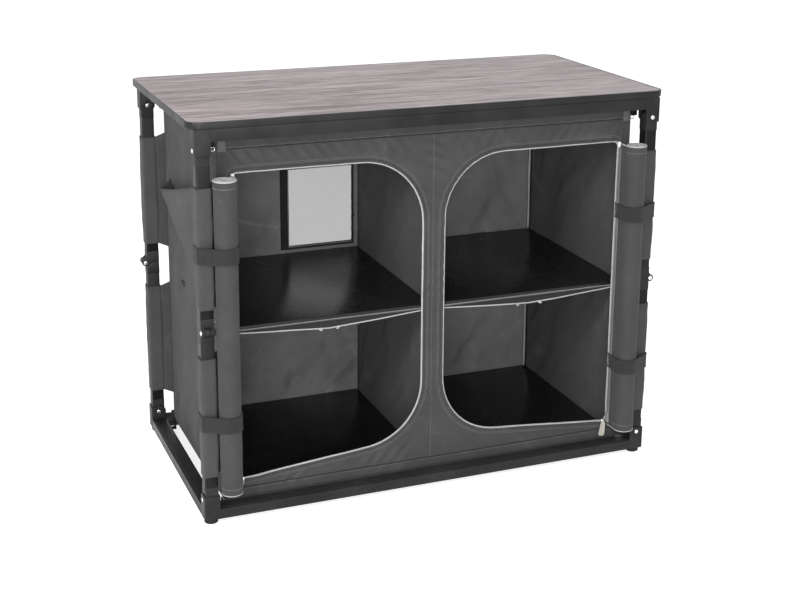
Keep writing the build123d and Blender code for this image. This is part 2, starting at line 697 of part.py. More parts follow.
def door_roll(side):
    """A spiral of cloth made of half circles that shrink by half a pitch each."""
    outer_radius = ROLL_RADIUS - ROLL_CLOTH / 2
    start = ROLL_X - outer_radius
    turns = []
    with BuildPart() as roll:
        with BuildSketch(level(ROLL_BOTTOM_Z)):
            with BuildLine():
                tail_y = -CABINET_Y - 2 * CLOTH_GAP - CLOTH
                Line((side * start, tail_y), (side * start, ROLL_Y))
                x = start
                for turn in range(ROLL_HALF_TURNS):
                    radius = outer_radius - turn * ROLL_PITCH / 2
                    heading = 1 if turn % 2 == 0 else -1
                    middle = (side * (x + heading * radius), ROLL_Y - heading * radius)
                    end = x + 2 * heading * radius
                    turns.append(ThreePointArc((side * x, ROLL_Y), middle, (side * end, ROLL_Y)))
                    x = end
            trace(line_width=ROLL_CLOTH)
        extrude(amount=ROLL_TOP_Z - ROLL_BOTTOM_Z)
    pairs = zip(turns, turns[2:])
    least = min(
        inner.distance_to(outer @ (step / ROLL_STEPS))
        for outer, inner in pairs
        for step in range(ROLL_STEPS + 1)
    )
    print("least gap between the turns of a rolled door:", round(least - ROLL_CLOTH, 2), "mm")
    return roll.part


save(Compound(children=[door_roll(side) for side in (-1, 1)]), "door_rolls")


def roll_strap(side, height):
    """A strap from the leg's outer side, over the roll and back to the front cloth."""
    reach = STRAP_GAP + STRAP_THICKNESS / 2
    leg_outer = LEG_X + SLEEVE_OUTER / 2 + reach
    leg_front = -(LEG_Y + SLEEVE_OUTER / 2 + reach)
    radius = ROLL_RADIUS + reach
    away_x, away_y = leg_outer - ROLL_X, leg_front - ROLL_Y
    bearing = math.atan2(away_y, away_x) - math.acos(radius / math.hypot(away_x, away_y))
    touch = (side * (ROLL_X + radius * math.cos(bearing)), ROLL_Y + radius * math.sin(bearing))
    with BuildPart() as strap:
        with BuildSketch(level(height - STRAP_WIDTH / 2)):
            with BuildLine():
                Polyline(
                    (side * leg_outer, -(LEG_Y - SLEEVE_OUTER / 2 + STRAP_END)),
                    (side * leg_outer, leg_front),
                    touch,
                )
                over = bearing - (bearing + math.pi) / 2
                ThreePointArc(
                    touch,
                    (side * (ROLL_X + radius * math.cos(over)), ROLL_Y + radius * math.sin(over)),
                    (side * (ROLL_X - radius), ROLL_Y),
                )
                Line(
                    (side * (ROLL_X - radius), ROLL_Y),
                    (side * (ROLL_X - radius), -CABINET_Y - 2 * CLOTH_GAP - CLOTH),
                )
            trace(line_width=STRAP_THICKNESS)
        extrude(amount=STRAP_WIDTH)
    return strap.part


straps = [roll_strap(side, height) for side in (-1, 1) for height in STRAP_HEIGHTS]
save(Compound(children=straps), "door_straps")


# Side pocket: a wedge of cloth with a slanting rear edge. Its mouth is open and rises to
# the front
def pocket_wedge(shrink, lift):
    """The wedge that the pocket fills, drawn in from its walls and lifted at its mouth."""
    wall = -CABINET_X - CLOTH_GAP
    slant = (POCKET_MOUTH_REAR_Y - POCKET_BOTTOM_REAR_Y) / POCKET_REAR_DEPTH
    with BuildPart() as wedge:
        with BuildSketch(facing_side(wall - shrink)):
            with BuildLine():
                Polyline(
                    (POCKET_FRONT_Y, POCKET_BOTTOM_Z),
                    (POCKET_FRONT_Y, POCKET_FRONT_Z + lift),
                    (POCKET_MOUTH_REAR_Y + slant * lift, POCKET_REAR_Z + lift),
                    (POCKET_BOTTOM_REAR_Y, POCKET_BOTTOM_Z),
                    close=True,
                )
            make_face()
            if shrink:
                offset(amount=-shrink)
        extrude(amount=-2 * POCKET_REACH)
        with BuildSketch(facing_front(2 * POCKET_MOUTH_REAR_Y)):
            with BuildLine():
                outer = wall - POCKET_REACH + shrink
                Polyline(
                    (wall - shrink, POCKET_BOTTOM_Z),
                    (wall - shrink, POCKET_FRONT_Z + lift),
                    (outer, POCKET_FRONT_Z + lift),
                    (outer, POCKET_REAR_Z),
                    (wall - POCKET_BOTTOM_REACH + shrink, POCKET_BOTTOM_Z),
                    close=True,
                )
            make_face()
        extrude(amount=4 * POCKET_MOUTH_REAR_Y, mode=Mode.INTERSECT)
    return wedge.part


pocket_outside = pocket_wedge(0, 0)
pocket_inside = pocket_wedge(CLOTH, 3 * CLOTH)
with BuildPart() as side_pocket:
    add(pocket_outside)
    add(pocket_inside, mode=Mode.SUBTRACT)
save(side_pocket.part, "side_pocket")


# Hooks that hold the cabinet's corners out: on the short rails at the bottom, and on the
# long rails at the top
def bottom_hook(side_x, side_y):
    """A hook from a bottom short rail's inner face to the cloth."""
    start = side_x * (CABINET_X + HOOK_CLOTH_GAP)
    end = side_x * (INNER_X)
    low = FOOT_HEIGHT + RAIL_WALL
    middle_y = side_y * (INNER_Y - LIP_WIDTH - HOOK_LIP_GAP - HOOK_WIDTH / 2)
    with BuildPart() as piece:
        with BuildSketch(facing_front(middle_y + HOOK_WIDTH / 2)):
            with BuildLine():
                Polyline(
                    (start, low + HOOK_HEIGHT),
                    (start, low),
                    (end, low),
                    (end, low + HOOK_THICKNESS),
                    (start + side_x * HOOK_THICKNESS, low + HOOK_THICKNESS),
                    (start + side_x * HOOK_THICKNESS, low + HOOK_HEIGHT),
                    close=True,
                )
            make_face()
        extrude(amount=HOOK_WIDTH)
    return piece.part


def top_hook(side_x, side_y):
    """A hook on a top long rail's inner face that hangs below the rail beside the cloth."""
    back = side_y * INNER_Y
    inner = side_y * (INNER_Y - HOOK_THICKNESS)
    tip = side_y * (INNER_Y - TOP_HOOK_REACH)
    tip_inner = side_y * (INNER_Y - TOP_HOOK_REACH + HOOK_THICKNESS)
    low = TOP_RAIL_BOTTOM - TOP_HOOK_DROP
    high = TOP_RAIL_BOTTOM + TOP_HOOK_OVERLAP
    middle_x = side_x * (CABINET_X + INNER_X) / 2
    with BuildPart() as piece:
        with BuildSketch(facing_side(middle_x - HOOK_WIDTH / 2)):
            with BuildLine():
                Polyline(
                    (back, high),
                    (back, low),
                    (tip, low),
                    (tip, low + TOP_HOOK_LIP),
                    (tip_inner, low + TOP_HOOK_LIP),
                    (tip_inner, low + HOOK_THICKNESS),
                    (inner, low + HOOK_THICKNESS),
                    (inner, high),
                    close=True,
                )
            make_face()
        extrude(amount=HOOK_WIDTH)
    return piece.part


for name, hook in (("bottom_hooks", bottom_hook), ("top_hooks", top_hook)):
    hooks = [hook(side_x, side_y) for side_x, side_y, _ in CORNERS.values()]
    save(Compound(children=hooks), name)

print("worktop height:", WORKTOP_TOP, "mm; frame set back:", round(FRAME_MID_Y, 2), "mm")
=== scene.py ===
# %% [markdown]
# A folding camping kitchen box, dressed for its picture.
#
# The real thing is a worktop on a black box frame, with a grey cloth cabinet hung inside.
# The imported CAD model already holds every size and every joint, so this lesson never
# measures anything again. It loads that model and gives each part its real surface: cloth
# with seams and wrinkles in place of flat slabs, rounded edges on the plastic, and a finish
# for every material.

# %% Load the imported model
import math

import bmesh
import bpy
from mathutils import Matrix, Vector, noise
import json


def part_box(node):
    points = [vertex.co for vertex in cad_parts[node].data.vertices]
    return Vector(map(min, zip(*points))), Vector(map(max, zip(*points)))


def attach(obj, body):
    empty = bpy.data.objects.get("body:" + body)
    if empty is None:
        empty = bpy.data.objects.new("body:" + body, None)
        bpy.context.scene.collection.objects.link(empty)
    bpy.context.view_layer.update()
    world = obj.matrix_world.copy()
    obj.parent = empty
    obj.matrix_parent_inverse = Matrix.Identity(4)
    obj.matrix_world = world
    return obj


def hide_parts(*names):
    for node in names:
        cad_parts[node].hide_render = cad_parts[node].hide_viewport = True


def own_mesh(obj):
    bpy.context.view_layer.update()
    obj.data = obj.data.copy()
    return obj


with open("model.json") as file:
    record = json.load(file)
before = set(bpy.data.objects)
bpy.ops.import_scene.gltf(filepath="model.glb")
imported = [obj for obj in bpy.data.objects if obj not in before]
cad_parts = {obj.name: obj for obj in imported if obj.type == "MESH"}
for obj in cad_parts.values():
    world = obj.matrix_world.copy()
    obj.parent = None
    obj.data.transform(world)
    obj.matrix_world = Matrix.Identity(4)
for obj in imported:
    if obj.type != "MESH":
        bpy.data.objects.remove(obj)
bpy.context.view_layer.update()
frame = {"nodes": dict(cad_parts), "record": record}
nodes = frame["nodes"]
MM = 0.001
SIDES = ((-1, "left"), (1, "right"))


def span(name, axis):
    """Where a CAD node begins and ends along one axis."""
    low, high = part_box(name)
    return low[axis], high[axis]


def middle(name, axis):
    """The middle of a CAD node along one axis."""
    return sum(span(name, axis)) / 2


MID_Y = middle("top_long_rails", 1)
print("the frame's own middle lies at y =", round(MID_Y, 5))

# %% [markdown]
# The camera comes first, because every later choice is judged through it.
#
# The photograph was taken from the front left, a little above the worktop, with a long
# lens. Its place and turn were found by matching the worktop's corners, the feet and the
# leg edges. Upright lines stay nearly upright in the picture, and a small lens shift gives
# that.

# %% Camera
CAMERA_PLACE = Vector((-1086 * MM, -2757 * MM + MID_Y, 1328 * MM))
CAMERA_YAW = math.radians(21.78)
CAMERA_PITCH = math.radians(14.71)
CAMERA_ROLL = math.radians(0.43)
CAMERA_LENS = 64.8
CAMERA_SENSOR = 36
CAMERA_SHIFT = -0.125

ahead = Vector(
    (
        math.sin(CAMERA_YAW) * math.cos(CAMERA_PITCH),
        math.cos(CAMERA_YAW) * math.cos(CAMERA_PITCH),
        -math.sin(CAMERA_PITCH),
    )
)
level_right = Vector((math.cos(CAMERA_YAW), -math.sin(CAMERA_YAW), 0))
level_up = level_right.cross(ahead)
right = math.cos(CAMERA_ROLL) * level_right + math.sin(CAMERA_ROLL) * level_up
up = -math.sin(CAMERA_ROLL) * level_right + math.cos(CAMERA_ROLL) * level_up
facing = Matrix((right, up, -ahead)).transposed().to_4x4()

camera = bpy.data.objects.new("camera", bpy.data.cameras.new("camera"))
camera.data.lens = CAMERA_LENS
camera.data.sensor_width = CAMERA_SENSOR
camera.data.shift_y = CAMERA_SHIFT
camera.matrix_world = Matrix.Translation(CAMERA_PLACE) @ facing
bpy.context.scene.collection.objects.link(camera)
bpy.context.scene.camera = camera
print("the camera stands", round(CAMERA_PLACE.length, 2), "m from the origin")

# %% [markdown]
# Materials share a small kit of helpers.
#
# A material is a tree of nodes. One helper starts it with a colour and a roughness, one
# adds a node and sets its inputs, and one joins sockets. A pattern on a rigid part reads
# Object coordinates, which stay with the part. A pattern on cloth reads the piece's own UV
# map, laid out in metres, so that the weave keeps its real size on every piece.

# %% Helpers for materials
def start_material(name, color, roughness, specular=0.5, sheen=0.0):
    """A material with its shader, and the tree to add nodes to."""
    material = bpy.data.materials.new(name)
    material.use_nodes = True
    tree = material.node_tree
    shader = tree.nodes["Principled BSDF"]
    shader.inputs["Base Color"].default_value = (*color, 1)
    shader.inputs["Roughness"].default_value = roughness
    shader.inputs["Specular IOR Level"].default_value = specular
    shader.inputs["Sheen Weight"].default_value = sheen
    return material, tree, shader


def node(tree, kind, inputs=None, **settings):
    """A new node with its settings and its input values."""
    made = tree.nodes.new("ShaderNode" + kind)
    for key, value in settings.items():
        setattr(made, key, value)
    for key, value in (inputs or {}).items():
        made.inputs[key].default_value = value
    return made


def join(tree, source, target):
    """A link from an output to an input."""
    tree.links.new(source, target)


def placed(tree, source, scale=(1, 1, 1)):
    """Coordinates of the named kind, scaled."""
    coordinates = node(tree, "TexCoord")
    mapping = node(tree, "Mapping", {"Scale": scale})
    join(tree, coordinates.outputs[source], mapping.inputs["Vector"])
    return mapping.outputs["Vector"]


def noisy(tree, vector, scale, detail=2.0, roughness=0.5, distortion=0.0):
    """A noise texture. Its grey is the output Fac."""
    values = {"Scale": scale, "Detail": detail, "Roughness": roughness, "Distortion": distortion}
    made = node(tree, "TexNoise", values)
    join(tree, vector, made.inputs["Vector"])
    return made


def mapped(tree, value, start, end, low, high):
    """A value moved from the range start to end into the range low to high."""
    made = node(tree, "MapRange", {"From Min": start, "From Max": end, "To Min": low, "To Max": high})
    join(tree, value, made.inputs["Value"])
    return made.outputs["Result"]


def ramp(tree, factor, stops):
    """A colour ramp with stops of (place, grey or colour)."""
    made = node(tree, "ValToRGB")
    elements = made.color_ramp.elements
    while len(elements) < len(stops):
        elements.new(0.5)
    for element, (place, value) in zip(elements, stops):
        color = value if isinstance(value, tuple) else (value, value, value)
        element.position = place
        element.color = (*color, 1)
    join(tree, factor, made.inputs["Fac"])
    return made.outputs["Color"]


def mixed(tree, kind, share, first, second):
    """Two colours mixed. share is a number or a socket."""
    made = node(tree, "Mix", data_type="RGBA", blend_type=kind)
    if isinstance(share, (int, float)):
        made.inputs["Factor"].default_value = share
    else:
        join(tree, share, made.inputs["Factor"])
    join(tree, first, made.inputs[6])
    if isinstance(second, tuple):
        made.inputs[7].default_value = (*second, 1)
    else:
        join(tree, second, made.inputs[7])
    return made.outputs[2]


def shaded(tree, color, factor, stops):
    """A colour made darker or lighter by a ramp of greys."""
    return mixed(tree, "MULTIPLY", 1.0, color, ramp(tree, factor, stops))


def arithmetic(tree, operation, first, second):
    """Two values put together. Either may be a number or a socket."""
    made = node(tree, "Math", operation=operation)
    for value, socket in ((first, made.inputs[0]), (second, made.inputs[1])):
        if isinstance(value, (int, float)):
            socket.default_value = value
        else:
            join(tree, value, socket)
    return made.outputs[0]


def bump(tree, shader, height, strength, distance):
    """Turn a height into the shader's normal."""
    made = node(tree, "Bump", {"Strength": strength, "Distance": distance})
    join(tree, height, made.inputs["Height"])
    join(tree, made.outputs["Normal"], shader.inputs["Normal"])


# %% [markdown]
# The worktop is a board with a printed grey wood laminate.
#
# The print has long streaks along the board, short dark pores, fine fibres and broad pale
# patches. Four noises stretched along X give the four scales, and the finest one also
# makes a faint texture that you feel more than see.

# %% Laminate
PRINT_LAYERS = (
    ("streaks", (2.6, 66, 1), 9.0, 0.9),
    ("pores", (14, 300, 1), 3.0, 0.0),
    ("fibres", (9, 520, 1), 4.0, 0.0),
    ("patches", (1.6, 8, 1), 2.0, 0.0),
)
BROWNS = [
    (0.34, (0.125, 0.104, 0.107)),
    (0.47, (0.262, 0.227, 0.231)),
    (0.66, (0.362, 0.320, 0.326)),
]


def laminate_material():
    """Grey wood print with fine fibres along X."""
    material, tree, shader = start_material("laminate", (0.36, 0.335, 0.33), 0.45, 0.06)
    layers = {}
    for name, scale, detail, distortion in PRINT_LAYERS:
        layer = noisy(tree, placed(tree, "Object", scale), 1.0, detail, 0.66, distortion)
        layers[name] = layer.outputs["Fac"]
    color = ramp(tree, layers["streaks"], BROWNS)
    color = shaded(tree, color, layers["pores"], [(0.36, 0.45), (0.50, 1.0)])
    color = shaded(tree, color, layers["fibres"], [(0.36, 0.66), (0.6, 1.08)])
    color = shaded(tree, color, layers["patches"], [(0.3, 0.86), (0.7, 1.1)])
    join(tree, color, shader.inputs["Base Color"])
    bump(tree, shader, layers["fibres"], 0.25, 0.2 * MM)
    return material


# %% [markdown]
# Painted tube, moulded plastic, rubber and steel are close cousins.
#
# Each has one colour, a grain of its own size and a little variation in gloss where hands
# have touched it. One helper makes all of them from those few numbers.

# %% Rigid finishes
def grained_material(name, dark, light, roughness, grain, depth, metallic=0.0, shine=0.5, wear=0.08):
    """One colour with a fine grain, depth mm deep, and a gloss that is uneven by the given wear."""
    material, tree, shader = start_material(name, light, roughness, shine)
    shader.inputs["Metallic"].default_value = metallic
    place = placed(tree, "Object")
    worn = noisy(tree, place, 14.0, 4.0, 0.6).outputs["Fac"]
    join(tree, ramp(tree, worn, [(0.35, dark), (0.68, light)]), shader.inputs["Base Color"])
    gloss = mapped(tree, worn, 0.3, 0.7, roughness - wear, roughness + wear)
    join(tree, gloss, shader.inputs["Roughness"])
    bump(tree, shader, noisy(tree, place, grain, 3.0, 0.6).outputs["Fac"], 0.35, depth * MM)
    return material


# %% [markdown]
# The cabinet is coated polyester: a plain weave of fine yarn with a dull face.
#
# Two waves at right angles make the weave, a coarse noise makes the patches where the coating is thicker, and
# thin pale lines along the edges of warped cells are the creases that stay when such cloth has been folded
# away.
# The creases sit in the colour, drawn pale, and in the bump. A softer noise crumples the cloth in the bump
# and also darkens and lightens its colour in the same places, as painted shade and light on the folds.

# %% Cloth finishes
WAVES_PER_UNIT = 2 * math.pi / 20
DULL = 0.12
NAP = 0.06


def yarns_along(tree, vector, pitch, direction, wobble=0.0):
    """Ridges of yarn a pitch apart along one direction."""
    values = {"Scale": WAVES_PER_UNIT / pitch, "Distortion": wobble, "Detail": 1.0}
    made = node(tree, "TexWave", values, bands_direction=direction)
    join(tree, vector, made.inputs["Vector"])
    return made.outputs["Fac"]


def crease_lines(tree, plain, where):
    """Thin lines along the edges of warped cells, shown only where a noise allows it."""
    warp = noisy(tree, plain, 3.5)
    warped = node(tree, "VectorMath", operation="MULTIPLY_ADD")
    warped.inputs[1].default_value = (0.05, 0.05, 0.05)
    join(tree, warp.outputs["Color"], warped.inputs[0])
    join(tree, plain, warped.inputs[2])
    cells = node(tree, "TexVoronoi", {"Scale": 5.0}, feature="DISTANCE_TO_EDGE")
    join(tree, warped.outputs["Vector"], cells.inputs["Vector"])
    folds = mapped(tree, cells.outputs["Distance"], 0.0, 0.02, 1.0, 0.0)
    return arithmetic(tree, "MULTIPLY", folds, ramp(tree, where, [(0.46, 0.0), (0.66, 1.0)]))


def cloth_material(name, dark, light, pitch, crease):
    """Woven cloth with a UV map in metres. crease is how strongly old folds show."""
    material, tree, shader = start_material(name, light, 0.82, DULL, NAP)
    plain = placed(tree, "UV")
    weave = arithmetic(tree, "ADD", *(yarns_along(tree, plain, pitch * MM, d, 0.6) for d in "XY"))
    patches = noisy(tree, plain, 7.0, 4.0, 0.6).outputs["Fac"]
    lines = crease_lines(tree, plain, patches)
    crumple_and_painted_shade = noisy(tree, plain, 16.0, 3.0, 0.55, 1.6).outputs["Fac"]
    color = ramp(tree, patches, [(0.3, dark), (0.7, light)])
    color = shaded(tree, color, noisy(tree, plain, 520.0).outputs["Fac"], [(0.3, 0.84), (0.7, 1.12)])
    # The crumple noise also darkens and lightens the colour where the folds lie: painted shade and light on
    # the folds.
    color = shaded(tree, color, crumple_and_painted_shade, [(0.36, 0.95), (0.64, 1.05)])
    pale = tuple(min(1.0, c * 1.9 + 0.02) for c in light)
    color = mixed(tree, "MIX", arithmetic(tree, "MULTIPLY", lines, crease), color, pale)
    join(tree, color, shader.inputs["Base Color"])
    height = arithmetic(tree, "ADD", weave, arithmetic(tree, "MULTIPLY", lines, 4.0 * crease))
    height = arithmetic(tree, "ADD", height, arithmetic(tree, "MULTIPLY", crumple_and_painted_shade, 7.0))
    bump(tree, shader, height, 0.5, 0.25 * MM)
    return material


# %% [markdown]
# Two cloths are woven differently: the straps and the window.
#
# A strap has heavy ribs across it, which one coarse wave gives, and the same wave paints the colour darker in
# the hollows between the ribs as painted shade. The window is a net, so its
# yarns also say how much the cloth hides: little between them, and more on them.

# %% Webbing and net finishes
def webbing_material(name, dark, light):
    """A woven strap: heavy ribs across it and a plain edge. V runs across the strap."""
    material, tree, shader = start_material(name, light, 0.8, DULL, NAP)
    plain = placed(tree, "UV")
    ribs = yarns_along(tree, plain, 2.2 * MM, "X")
    height = arithmetic(tree, "ADD", ribs, yarns_along(tree, plain, 1.6 * MM, "Y"))
    # The colour follows the ribs: darker in the hollows between them, as painted shade.
    join(tree, ramp(tree, ribs, [(0.1, dark), (0.8, light)]), shader.inputs["Base Color"])
    bump(tree, shader, height, 0.8, 0.5 * MM)
    return material


def net_material(name, color, pitch, low, high):
    """A fine net. low and high are how much it hides between its yarns and on them."""
    material, tree, shader = start_material(name, color, 0.75)
    plain = placed(tree, "UV")
    yarns = arithmetic(tree, "MAXIMUM", *(yarns_along(tree, plain, pitch * MM, d) for d in "XY"))
    join(tree, mapped(tree, yarns, 0.2, 0.9, low, high), shader.inputs["Alpha"])
    darker = tuple(c * 0.85 for c in color)
    tint = ramp(tree, noisy(tree, plain, 40.0).outputs["Fac"], [(0.3, darker), (0.7, color)])
    join(tree, tint, shader.inputs["Base Color"])
    return material


# %% [markdown]
# Every finish is now one line of numbers.
#
# A rigid finish is a dark and a light colour, the roughness, the grain's fineness and its
# depth in mm, and how strongly it shines. A cloth is two colours, the yarn's pitch in mm and
# how strongly its old creases show.

# %% Make the finishes
def dark_finish(name, dark, light, roughness, grain, depth, shine, wear=0.08):
    """A near-black plastic or paint. Each colour is its red and green, then its blue."""
    shades = [(grey, grey, blue) for grey, blue in (dark, light)]
    return grained_material(name, *shades, roughness, grain, depth, shine=shine, wear=wear)


def grey_cloth(name, dark, light, pitch=0.9, crease=0.0):
    """A grey cloth. Each colour is its red and green, then its blue."""
    shades = [(grey, grey, blue) for grey, blue in (dark, light)]
    return cloth_material(name, *shades, pitch, crease)


LAMINATE = laminate_material()
EDGE = dark_finish("edge plastic", (0.008, 0.0083), (0.013, 0.0134), 0.42, 900, 0.05, 0.2)
PAINT = dark_finish("painted tube", (0.009, 0.0093), (0.016, 0.0163), 0.42, 1400, 0.05, 0.16)
PLASTIC = dark_finish("moulded plastic", (0.012, 0.0123), (0.021, 0.0213), 0.48, 1100, 0.08, 0.13)
LEG_PAINT = dark_finish("leg paint", (0.0045, 0.0046), (0.008, 0.0082), 0.4, 1400, 0.05, 0.14)
BLACK = dark_finish("black plastic", (0.004, 0.004), (0.008, 0.008), 0.45, 1100, 0.06, 0.12)
RUBBER = dark_finish("rubber", (0.012, 0.012), (0.019, 0.019), 0.7, 800, 0.1, 0.12)
WHITE = dark_finish("white plastic", (0.50, 0.49), (0.60, 0.59), 0.4, 1200, 0.05, 0.2)
BOARD = dark_finish("board plastic", (0.0042, 0.0043), (0.0062, 0.0063), 0.27, 300, 0.001, 0.27, 0.01)
STEEL = grained_material("steel", (0.62, 0.62, 0.63), (0.78, 0.78, 0.79), 0.28, 1600, 0.03, 1.0)
PULL = grained_material(
    "pull metal", (0.26, 0.24, 0.205), (0.36, 0.335, 0.29), 0.45, 1200, 0.04, shine=0.3
)
CLOTH = grey_cloth("cabinet cloth", (0.0368, 0.0376), (0.0482, 0.0492), 0.9, 0.25)
# The inside of the cabinet: the cabinet cloth painted a little lighter, as painted light for the dim inside.
INSIDE_PAINTED_LIGHTER = grey_cloth("inner cloth painted lighter", (0.041, 0.0418), (0.055, 0.056), 0.9, 0.4)
# The inner side of the rear cloth: the inner cloth painted about three times lighter, as painted light.
BACK_INSIDE_PAINTED_LIGHT = grey_cloth("inner back cloth painted light", (0.115, 0.117), (0.160, 0.162), 0.9, 0.4)
SLEEVE = grey_cloth("sleeve cloth", (0.043, 0.044), (0.056, 0.057), 0.9, 0.1)
TAB_CLOTH = grey_cloth("tab cloth", (0.075, 0.0765), (0.10, 0.102))
BINDING = grey_cloth("binding", (0.27, 0.272), (0.35, 0.352), 0.7)
# Near-black cloth for the dark bindings and seams, and also painted shade inside the pocket and painted
# shadow along the tops of the side walls.
DARK_BINDING_AND_PAINTED_SHADE = grey_cloth("dark binding and painted shade", (0.014, 0.0145), (0.020, 0.0205), 0.7)
TAPE = grey_cloth("zip tape", (0.15, 0.152), (0.20, 0.202), 0.6)
THREAD = grey_cloth("thread", (0.10, 0.102), (0.13, 0.132), 0.5)
WEBBING = webbing_material("webbing", (0.010, 0.010, 0.0103), (0.032, 0.032, 0.0327))
NET = net_material("window net", (0.15, 0.148, 0.15), 0.8, 0.48, 0.75)
print("finishes made:", len(bpy.data.materials))

# %% [markdown]
# Rigid parts keep their CAD shape and gain the soft edges of real moulding.
#
# A CAD edge is perfectly sharp, so it never catches a highlight, and the eye reads it as a
# drawing. A copy of each part is merged into clean faces and given a Bevel modifier that
# rounds only real corners. The copy then stands for the CAD part.

# %% Helpers for pieces
BODIES = {}
for body_name, members in frame["record"]["behaviour"]["bodies"].items():
    for member in members:
        BODIES[member] = body_name


def make_piece(name, bm, material, replaced=(), body="bottom_frame"):
    """An object from a finished bmesh, carried by a body."""
    mesh = bpy.data.meshes.new(name)
    bm.to_mesh(mesh)
    bm.free()
    for face in mesh.polygons:
        face.use_smooth = True
    mesh.materials.append(material)
    piece = bpy.data.objects.new(name, mesh)
    bpy.context.scene.collection.objects.link(piece)
    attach(piece, body)
    if replaced:
        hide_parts(*replaced)
    return piece


def merged_copy(name):
    """A CAD node's mesh as a bmesh, with its loose triangles merged."""
    bm = bmesh.new()
    bm.from_mesh(nodes[name].data)
    bmesh.ops.remove_doubles(bm, verts=bm.verts, dist=0.01 * MM)
    return bm


def rounded(piece, width):
    """Soft edges on a rigid piece."""
    bevel = piece.modifiers.new("soft edges", "BEVEL")
    bevel.width = width
    bevel.segments = 2
    bevel.limit_method = "ANGLE"
    bevel.angle_limit = math.radians(35)
    bevel.harden_normals = True


def dressed(name, material, width):
    """A rigid CAD part with rounded edges and a new finish."""
    bm = merged_copy(name)
    bmesh.ops.dissolve_limit(bm, angle_limit=math.radians(2), verts=bm.verts, edges=bm.edges)
    piece = make_piece(name + "_dressed", bm, material, [name], BODIES[name])
    rounded(piece, width)


# %% [markdown]
# The frame, the hinges, the boards and the worktop are dressed from one list.
#
# Each row names the parts, their finish and how far their edges are rounded in mm. Thin
# tube gets a small radius, and moulded corners and boards get a larger one.

# %% Frame, hinges, boards and worktop
RIGID = [
    (("bottom_long_rails", "bottom_short_rails"), PAINT, 0.35),
    (("top_long_rails", "top_short_rails"), PAINT, 0.9),
    (("bottom_corner_blocks", "top_corner_blocks"), PLASTIC, 1.0),
    (("foot_pads",), RUBBER, 0.8),
    (("bottom_rivets", "top_rivets"), STEEL, 0.9),
    (("bottom_board_left", "bottom_board_right", "mid_board_left", "mid_board_right"), BOARD, 1.2),
    (("bottom_hooks", "top_hooks"), BLACK, 0.6),
    (("worktop_cleats",), PLASTIC, 1.0),
    (("worktop_board",), LAMINATE, 0.5),
    (("worktop_edge_band",), EDGE, 0.6),
]
CORNERS = {"front_left": (-1, -1), "front_right": (1, -1), "rear_right": (1, 1), "rear_left": (-1, 1)}
for corner in CORNERS:
    for half in ("lower", "upper"):
        RIGID.append(((f"{half}_leg_{corner}",), LEG_PAINT, 0.3))
        RIGID.append(((f"{half}_plug_{corner}", f"{half}_knee_{corner}"), PLASTIC, 0.8))
    RIGID.append(((f"knee_pin_{corner}",), STEEL, 0.9))
for names, material, width in RIGID:
    for name in names:
        dressed(name, material, width * MM)
print("rigid parts dressed:", sum(len(names) for names, _, _ in RIGID))

# %% [markdown]
# Cloth walls start from the outline of their CAD slab.
#
# The outer side of the slab has the exact outline and openings. Cut by a grid of planes, it
# becomes a net of small faces that can take wrinkles. A function says how far the cloth
# stands off its plane at every point, and the seams and bindings ask the same function, so
# they follow the cloth.

# %% Helpers for cloth walls
def flat_side(name, axis, outward):
    """One side of a thin CAD slab. outward is 1 for its high side and -1 for its low one."""
    bm = merged_copy(name)
    low, high = span(name, axis)
    keep = high if outward > 0 else low
    other = [v for v in bm.verts if abs(v.co[axis] - keep) > 0.3 * MM]
    bmesh.ops.delete(bm, geom=other, context="VERTS")
    bmesh.ops.dissolve_limit(bm, angle_limit=math.radians(1), verts=bm.verts, edges=bm.edges)
    return bm


def turned(bm, axis, angle=math.pi / 2, centre=(0, 0, 0)):
    """Turn a whole bmesh about an axis."""
    bmesh.ops.rotate(bm, verts=bm.verts, cent=centre, matrix=Matrix.Rotation(angle, 3, axis))


def shifted(bm, step):
    """Move a whole bmesh."""
    bmesh.ops.translate(bm, verts=bm.verts, vec=step)


def upright_patch(axis, half_size=(1, 1, 1), place=(0, 0, 0)):
    """A flat face turned upright about an axis, sized and put in its place."""
    bm = bmesh.new()
    bmesh.ops.create_grid(bm, x_segments=1, y_segments=1, size=1)
    turned(bm, axis)
    bmesh.ops.scale(bm, verts=bm.verts, vec=half_size)
    shifted(bm, place)
    return bm


def faced(bm, axis, outward):
    """Turn a sheet over if it looks the wrong way along an axis."""
    if bm.faces[:][0].normal[axis] * outward < 0:
        bmesh.ops.reverse_faces(bm, faces=bm.faces)


def cut_grid(bm, axes, step):
    """Cut a flat cloth into small faces by planes across each axis."""
    for axis in axes:
        places = [v.co[axis] for v in bm.verts]
        low, high = min(places), max(places)
        count = max(1, round((high - low) / step))
        normal = Vector([1.0 if i == axis else 0.0 for i in range(3)])
        for i in range(1, count):
            place = normal * (low + (high - low) * i / count)
            everything = bm.verts[:] + bm.edges[:] + bm.faces[:]
            bmesh.ops.bisect_plane(bm, geom=everything, plane_co=place, plane_no=normal, dist=0.01 * MM)


def write_uv(bm, layer, measure):
    """Fill a UV map in metres. measure gives the two lengths of a point."""
    for face in bm.faces:
        for loop in face.loops:
            loop[layer].uv = measure(loop.vert.co)


def lay_uv(bm, first, second):
    """A UV map in metres, taken from two axes."""
    write_uv(bm, bm.loops.layers.uv.new("cloth"), lambda point: (point[first], point[second]))


def thickened(piece, thickness, offset=-1.0):
    """Give a single sheet its thickness. An offset of -1 grows it away from its normals."""
    solid = piece.modifiers.new("thickness", "SOLIDIFY")
    solid.thickness = thickness
    solid.offset = offset
    solid.use_even_offset = True


